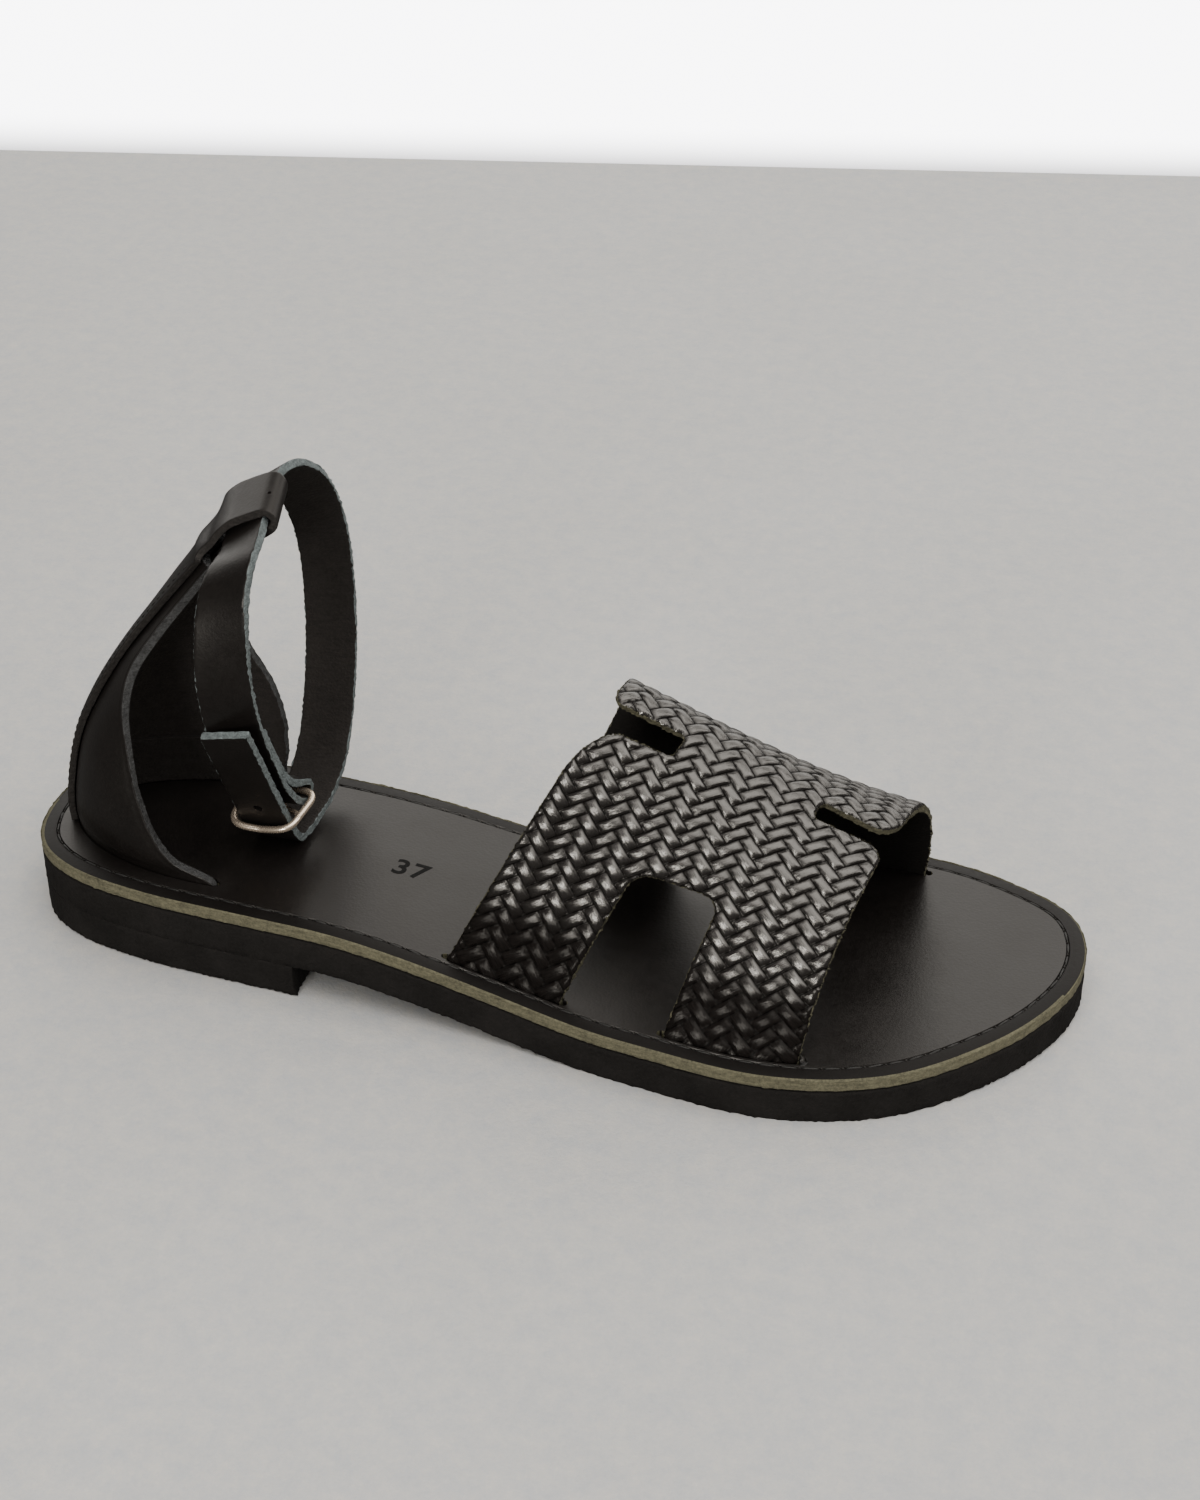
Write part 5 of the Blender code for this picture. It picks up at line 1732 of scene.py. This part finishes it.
def make_ankle_strap(finishes):
    """The ankle strap in one length: folded end, round the ankle and out of the buckle."""
    place, long = ankle_place()
    piece = blank("ankle_strap_leather", 14, int(long / ANKLE_CELL), ANKLE_WIDE, long,
                  (-ANKLE_WIDE / 2, 0.0))
    thicken(piece, ANKLE_THICK, ANKLE_ROUND, 3)
    fuzz_edge(piece, EDGE_FUZZ * 0.75, 51)
    form(piece, place)
    carve(piece, free_hole())
    carve(piece, pin_slot())
    dress(piece, finishes["strap"], finishes["flesh"], finishes["grey"])
    sharpen(piece)
    settle(piece, "strap_leather", "ankle_strap")
    random = seeded(52)
    run = random.uniform(6.0, long, ANKLE_FIBRES)
    edge = random.choice((-0.5, 0.5), ANKLE_FIBRES)
    off = random.uniform(-0.5, 0.5, ANKLE_FIBRES) * ANKLE_THICK * 0.8
    spots = place(edge * ANKLE_WIDE, run, off)
    loose = fibres("ankle_strap_fibres", spots, spots - place(edge * ANKLE_WIDE * 0.9, run, off),
                   0.4, finishes["grey"], 53)
    settle(loose, "strap_leather")


# ---------------------------------------------------------------- buckle
FRAME_TILT = -0.6
FRAME_LIFT_END = 0.6
PIN_ROOM = 0.12           # between the pin's loop and the wire it goes round
PIN_TURNS = (-165.0, -445.0)
RIVET_DOME = ((0.0, 1.25), (0.6, 1.24), (1.2, 1.18), (1.8, 1.07), (2.4, 0.9), (2.9, 0.68),
              (3.25, 0.42), (RIVET_CAP, 0.18), (RIVET_CAP - 0.08, 0.0), (RIVET_STEM, 0.0))
RIVET_PLATE = ((RIVET_STEM, 0.0), (2.1, 0.0), (2.2, 0.1), (2.1, 0.22), (1.2, 0.32),
               (0.0, 0.35))


def frame_path():
    """The ring's wire: a rounded rectangle between the hinge and its far bar."""
    centre = np.array((FRAME_X, (HINGE_Y + FRAME_FAR_Y) / 2, (HINGE_Z + FRAME_FAR_Z) / 2))
    reach = np.array((0.0, HINGE_Y - FRAME_FAR_Y, HINGE_Z - FRAME_FAR_Z)) / 2
    path = []
    for turn in np.linspace(0, 2 * math.pi, WIRE_POINTS, endpoint=False):
        square = FRAME_SQUARE[1] if math.sin(turn) > 0 else FRAME_SQUARE[0]
        c, s = [math.copysign(abs(value) ** (2 / square), value)
                for value in (math.cos(turn), math.sin(turn))]
        lift = FRAME_LIFT * max(c, 0.0) * max(0.0, min(1.0, FRAME_LIFT_END - s))
        path.append(centre + np.array((FRAME_HALF * c, FRAME_TILT * lift, lift)) + reach * s)
    return even_loop(np.array(path), WIRE_POINTS)


def prong_path():
    """The pin: a loop round the ring's rear bar, then straight beside the strap."""
    ring = WIRE / 2 + PIN_ROOM + PIN / 2
    loop = [(60.0, HINGE_Y + ring * math.cos(t), HINGE_Z + ring * math.sin(t))
            for t in np.radians(np.linspace(*PIN_TURNS, 29))]
    points = np.array([*loop, *PRONG_WAY])
    run = run_along(points)
    return smooth_rows(run, points, np.linspace(0, run[-1], 60))


def make_rivet(finishes):
    """The domed rivet through the two layers of the near strand."""
    before, near, after = NEAR_STRAND[RIVET_ROW - 1:RIVET_ROW + 2]
    along = Vector((0, after.y - before.y, after.z - before.z)).normalized()
    axis = np.array(turned_axes(along, near.lean)[1])
    layers = ANKLE_THICK * 1.5 + FIT_GAP * 2
    plate = ANKLE_THICK / 2 + 0.8 * FIT_GAP
    profile = np.array([*[(wide, -layers - out) for wide, out in RIVET_DOME],
                        *[(wide, plate + out) for wide, out in RIVET_PLATE]])
    side = unit(np.cross(axis, (0, 0, 1)))
    up = np.cross(axis, side)
    turns = np.linspace(0, 2 * np.pi, 41)
    points = (np.array(near[:3]) + axis * profile[:, None, 1:2]
              + (side * np.cos(turns)[:, None] + up * np.sin(turns)[:, None])
              * profile[:, None, 0:1])
    rivet = wrapped("strap_rivet_cap", points)
    sharpen(rivet)
    dress(rivet, finishes["metal"])
    settle(rivet, "buckle_metal", "strap_rivet")


def make_buckle(finishes):
    """The wire ring and its pin."""
    ring = tube("buckle_ring", frame_path(), WIRE / 2, True, finishes["metal"], 6)
    settle(ring, "buckle_metal", "buckle_frame")
    pin = tube("buckle_pin", prong_path(), PIN / 2, False, finishes["metal"], 5)
    settle(pin, "buckle_metal", "buckle_prong")


# ---------------------------------------------------------------- stage
CAMERA_AT = (263.2, -430.2, 347.9)
CAMERA_LOOK = (-0.233, 0.807, -0.543)
CAMERA_ROLL = -0.003
LENS = 57.3
WALL_LEFT = (-0.399, 0.482)
WALL_RIGHT = (0.111, 0.589)
WALL_GLOW = 7.5
WALL_FOOT = (-0.004, 0.018)
WALL_PAST = (3.0, 3.5)    # how far the wall goes on to each side of its left point
WALL_LOW = -0.001
WALL_HIGH = 2.4
WALL_WHITE = (0.97, 0.97, 1.0)
WORLD_WARM = (1.0, 0.97, 0.93, 1.0)
WORLD_GLOW = 0.12
FLOOR_SIZE = 6.0
LIGHTS = (
    ("back", (-0.3, 1.0, 0.66), (0.0, 0.0, 0.0), (3.1, 1.1), 20.0, (1.0, 0.98, 0.95)),
    ("overhead", (0.4, -0.3, 1.2), (0.05, 0.0, 0.0), (1.8, 1.6), 23.5, (1.0, 0.98, 0.96)),
    ("side", (1.5, 0.5, 0.9), (0.3, 0.1, 0.0), (0.9, 0.8), 7.0, (1.0, 0.98, 0.96)),
    ("window", (-0.17, -1.0, 0.30), (0.02, -0.03, 0.03), (0.34, 0.2), 5.0, (1.0, 0.98, 0.95)),
)


def look_along(direction, roll=0.0):
    """A turn that points -Z along the direction, then rolls about it."""
    turn = Vector(direction).to_track_quat("-Z", "Y").to_matrix()
    return (turn @ Matrix.Rotation(roll, 3, "Z")).to_4x4()


def soft_light(name, at, target, wide, tall, power, colour):
    """A rectangular soft box that points at its target."""
    data = bpy.data.lights.new(name, "AREA")
    data.shape = "RECTANGLE"
    data.size = wide
    data.size_y = tall
    data.energy = power
    data.color = colour
    linked(name, data).matrix_world = (Matrix.Translation(at)
                                       @ look_along(Vector(target) - Vector(at)))


def make_floor(colours):
    """The pale floor under the shoe."""
    floor = primitive(bpy.ops.mesh.primitive_grid_add, x_subdivisions=8, y_subdivisions=8,
                      size=FLOOR_SIZE)
    floor.name = "floor"
    floor.visible_glossy = False
    dress(floor, floor_finish("pale_floor", colours.floor))


def make_wall():
    """The glowing wall behind, which lights nothing."""
    left, right = np.array(WALL_LEFT), np.array(WALL_RIGHT)
    run = unit(right - left)
    low = [(*(left - run * WALL_PAST[0]), WALL_LOW), (*(left + run * WALL_PAST[1]), WALL_LOW)]
    high = [(x, y, WALL_HIGH) for x, y, _ in reversed(low)]
    mesh = bpy.data.meshes.new("wall")
    mesh.from_pydata([*low, *high], [], [(0, 1, 2, 3)])
    wall = linked("wall", mesh)
    dress(wall, wall_finish("white_wall", WALL_WHITE, WALL_GLOW))
    wall.visible_diffuse = False
    wall.visible_glossy = False


def make_world():
    """A little warm light from everywhere."""
    world = bpy.data.worlds.new("studio")
    bpy.context.scene.world = world
    world.use_nodes = True
    inputs = world.node_tree.nodes["Background"].inputs
    inputs["Color"].default_value = WORLD_WARM
    inputs["Strength"].default_value = WORLD_GLOW


def make_camera():
    """The camera, in front of the shoe and above it."""
    data = bpy.data.cameras.new("camera")
    data.sensor_fit = "VERTICAL"
    data.sensor_height = 36.0
    data.lens = LENS
    data.clip_start = 0.01
    camera = linked("camera", data)
    camera.matrix_world = (Matrix.Translation(to_row(CAMERA_AT))
                           @ look_along(CAMERA_LOOK, CAMERA_ROLL))
    bpy.context.scene.camera = camera


def make_stage(colours):
    """Pale floor, white wall behind, soft light from behind and above, and the camera."""
    make_floor(colours)
    make_wall()
    make_world()
    for name, at, target, size, power, colour in LIGHTS:
        soft_light(name, at, target, *size, power, colour)
    make_camera()


# ---------------------------------------------------------------- add-on
def size_setting(name, description, default, least, most):
    """A length for the panel, in metres."""
    return bpy.props.FloatProperty(name=name, description=description, default=default,
                                   min=least, max=most, precision=5, unit="LENGTH")


def colour_setting(name, description, default):
    """A colour for the panel."""
    return bpy.props.FloatVectorProperty(name=name, description=description, default=default,
                                         subtype="COLOR", size=3, min=0.0, max=1.0)


class SandalSizes(bpy.types.PropertyGroup):
    """Sizes of the finish that a user may change."""

    braid_relief: size_setting("Braid relief", "Height of the braid's strands over the seams",
                               0.00062, 0.0, 0.0009)
    groove_depth: size_setting("Groove depth", "Depth of the stitched groove in the footbed",
                               0.0004, 0.0, 0.001)
    stitch_pitch: size_setting("Stitch pitch", "Distance between footbed stitches",
                               0.0047, 0.0015, 0.005)


class SandalColours(bpy.types.PropertyGroup):
    """Colours of the shoe and its floor."""

    leather: colour_setting("Leather", "Black leather", (0.0085, 0.0070, 0.0063))
    sole_edge: colour_setting("Footbed edge", "Raw cut edge of the footbed", (0.18, 0.168, 0.102))
    strap_edge: colour_setting("Strap edge", "Raw cut edge of the straps", (0.20, 0.235, 0.235))
    rubber: colour_setting("Rubber", "Sole rubber", (0.0090, 0.0080, 0.0075))
    metal: colour_setting("Metal", "Buckle and rivet", (0.93, 0.77, 0.60))
    thread: colour_setting("Thread", "Stitching thread", (0.008, 0.008, 0.008))
    floor: colour_setting("Floor", "Pale floor", (0.585, 0.578, 0.563))


def settings():
    """The sizes and the colours chosen in the panel."""
    scene = bpy.context.scene
    return scene.sandal_sizes, scene.sandal_colours


FINISHES = {}


def finishes():
    """The shoe's materials, made once."""
    if not FINISHES:
        FINISHES.update(materials(settings()[1]))
    return FINISHES


class SANDAL_OT_sole(bpy.types.Operator):
    """Make the rubber outsole and heel lift"""

    bl_idname = "sandal.make_sole"
    bl_label = "Make Sole"

    def execute(self, context):
        make_heel_lift(finishes())
        make_outsole(finishes())
        return {"FINISHED"}


class SANDAL_OT_footbed(bpy.types.Operator):
    """Make the footbed with its groove, stitches, slits and size number"""

    bl_idname = "sandal.make_footbed"
    bl_label = "Make Footbed"

    def execute(self, context):
        make_footbed(settings()[0], finishes())
        make_size_number()
        return {"FINISHED"}


class SANDAL_OT_front_strap(bpy.types.Operator):
    """Make the braided front strap"""

    bl_idname = "sandal.make_front_strap"
    bl_label = "Make Front Strap"

    def execute(self, context):
        make_front_strap(settings()[0], finishes())
        return {"FINISHED"}


class SANDAL_OT_heel(bpy.types.Operator):
    """Make the heel counter, its lining and the back strip"""

    bl_idname = "sandal.make_heel"
    bl_label = "Make Heel"

    def execute(self, context):
        make_counter(finishes())
        make_heel_lining(finishes())
        make_back_strip(finishes())
        return {"FINISHED"}


class SANDAL_OT_ankle_strap(bpy.types.Operator):
    """Make the ankle strap"""

    bl_idname = "sandal.make_ankle_strap"
    bl_label = "Make Ankle Strap"

    def execute(self, context):
        make_ankle_strap(finishes())
        return {"FINISHED"}


class SANDAL_OT_buckle(bpy.types.Operator):
    """Make the buckle and the rivet"""

    bl_idname = "sandal.make_buckle"
    bl_label = "Make Buckle"

    def execute(self, context):
        make_buckle(finishes())
        make_rivet(finishes())
        return {"FINISHED"}


class SANDAL_OT_stage(bpy.types.Operator):
    """Make the floor, the wall, the light and the camera"""

    bl_idname = "sandal.make_stage"
    bl_label = "Make Stage"

    def execute(self, context):
        make_stage(settings()[1])
        return {"FINISHED"}


STEPS = (SANDAL_OT_sole, SANDAL_OT_footbed, SANDAL_OT_front_strap, SANDAL_OT_heel,
         SANDAL_OT_ankle_strap, SANDAL_OT_buckle, SANDAL_OT_stage)


class SANDAL_PT_panel(bpy.types.Panel):
    """Sizes, colours and steps of the sandal"""

    bl_idname = "SANDAL_PT_panel"
    bl_label = "Ankle Strap Sandal"
    bl_space_type = "VIEW_3D"
    bl_region_type = "UI"
    bl_category = "Sandal"

    def draw(self, context):
        column = self.layout.column()
        for group in settings():
            for key in group.__annotations__:
                column.prop(group, key)
        for step in STEPS:
            column.operator(step.bl_idname)


CLASSES = (SandalSizes, SandalColours, *STEPS, SANDAL_PT_panel)


def register():
    for kind in CLASSES:
        bpy.utils.register_class(kind)
    bpy.types.Scene.sandal_sizes = bpy.props.PointerProperty(type=SandalSizes)
    bpy.types.Scene.sandal_colours = bpy.props.PointerProperty(type=SandalColours)


def unregister():
    del bpy.types.Scene.sandal_colours
    del bpy.types.Scene.sandal_sizes
    for kind in reversed(CLASSES):
        bpy.utils.unregister_class(kind)


def main():
    """Makes the whole shoe and its stage, one step after the other."""
    register()
    bpy.ops.sandal.make_sole()
    bpy.ops.sandal.make_footbed()
    bpy.ops.sandal.make_front_strap()
    bpy.ops.sandal.make_heel()
    bpy.ops.sandal.make_ankle_strap()
    bpy.ops.sandal.make_buckle()
    bpy.ops.sandal.make_stage()


if __name__ == "__main__":
    main()
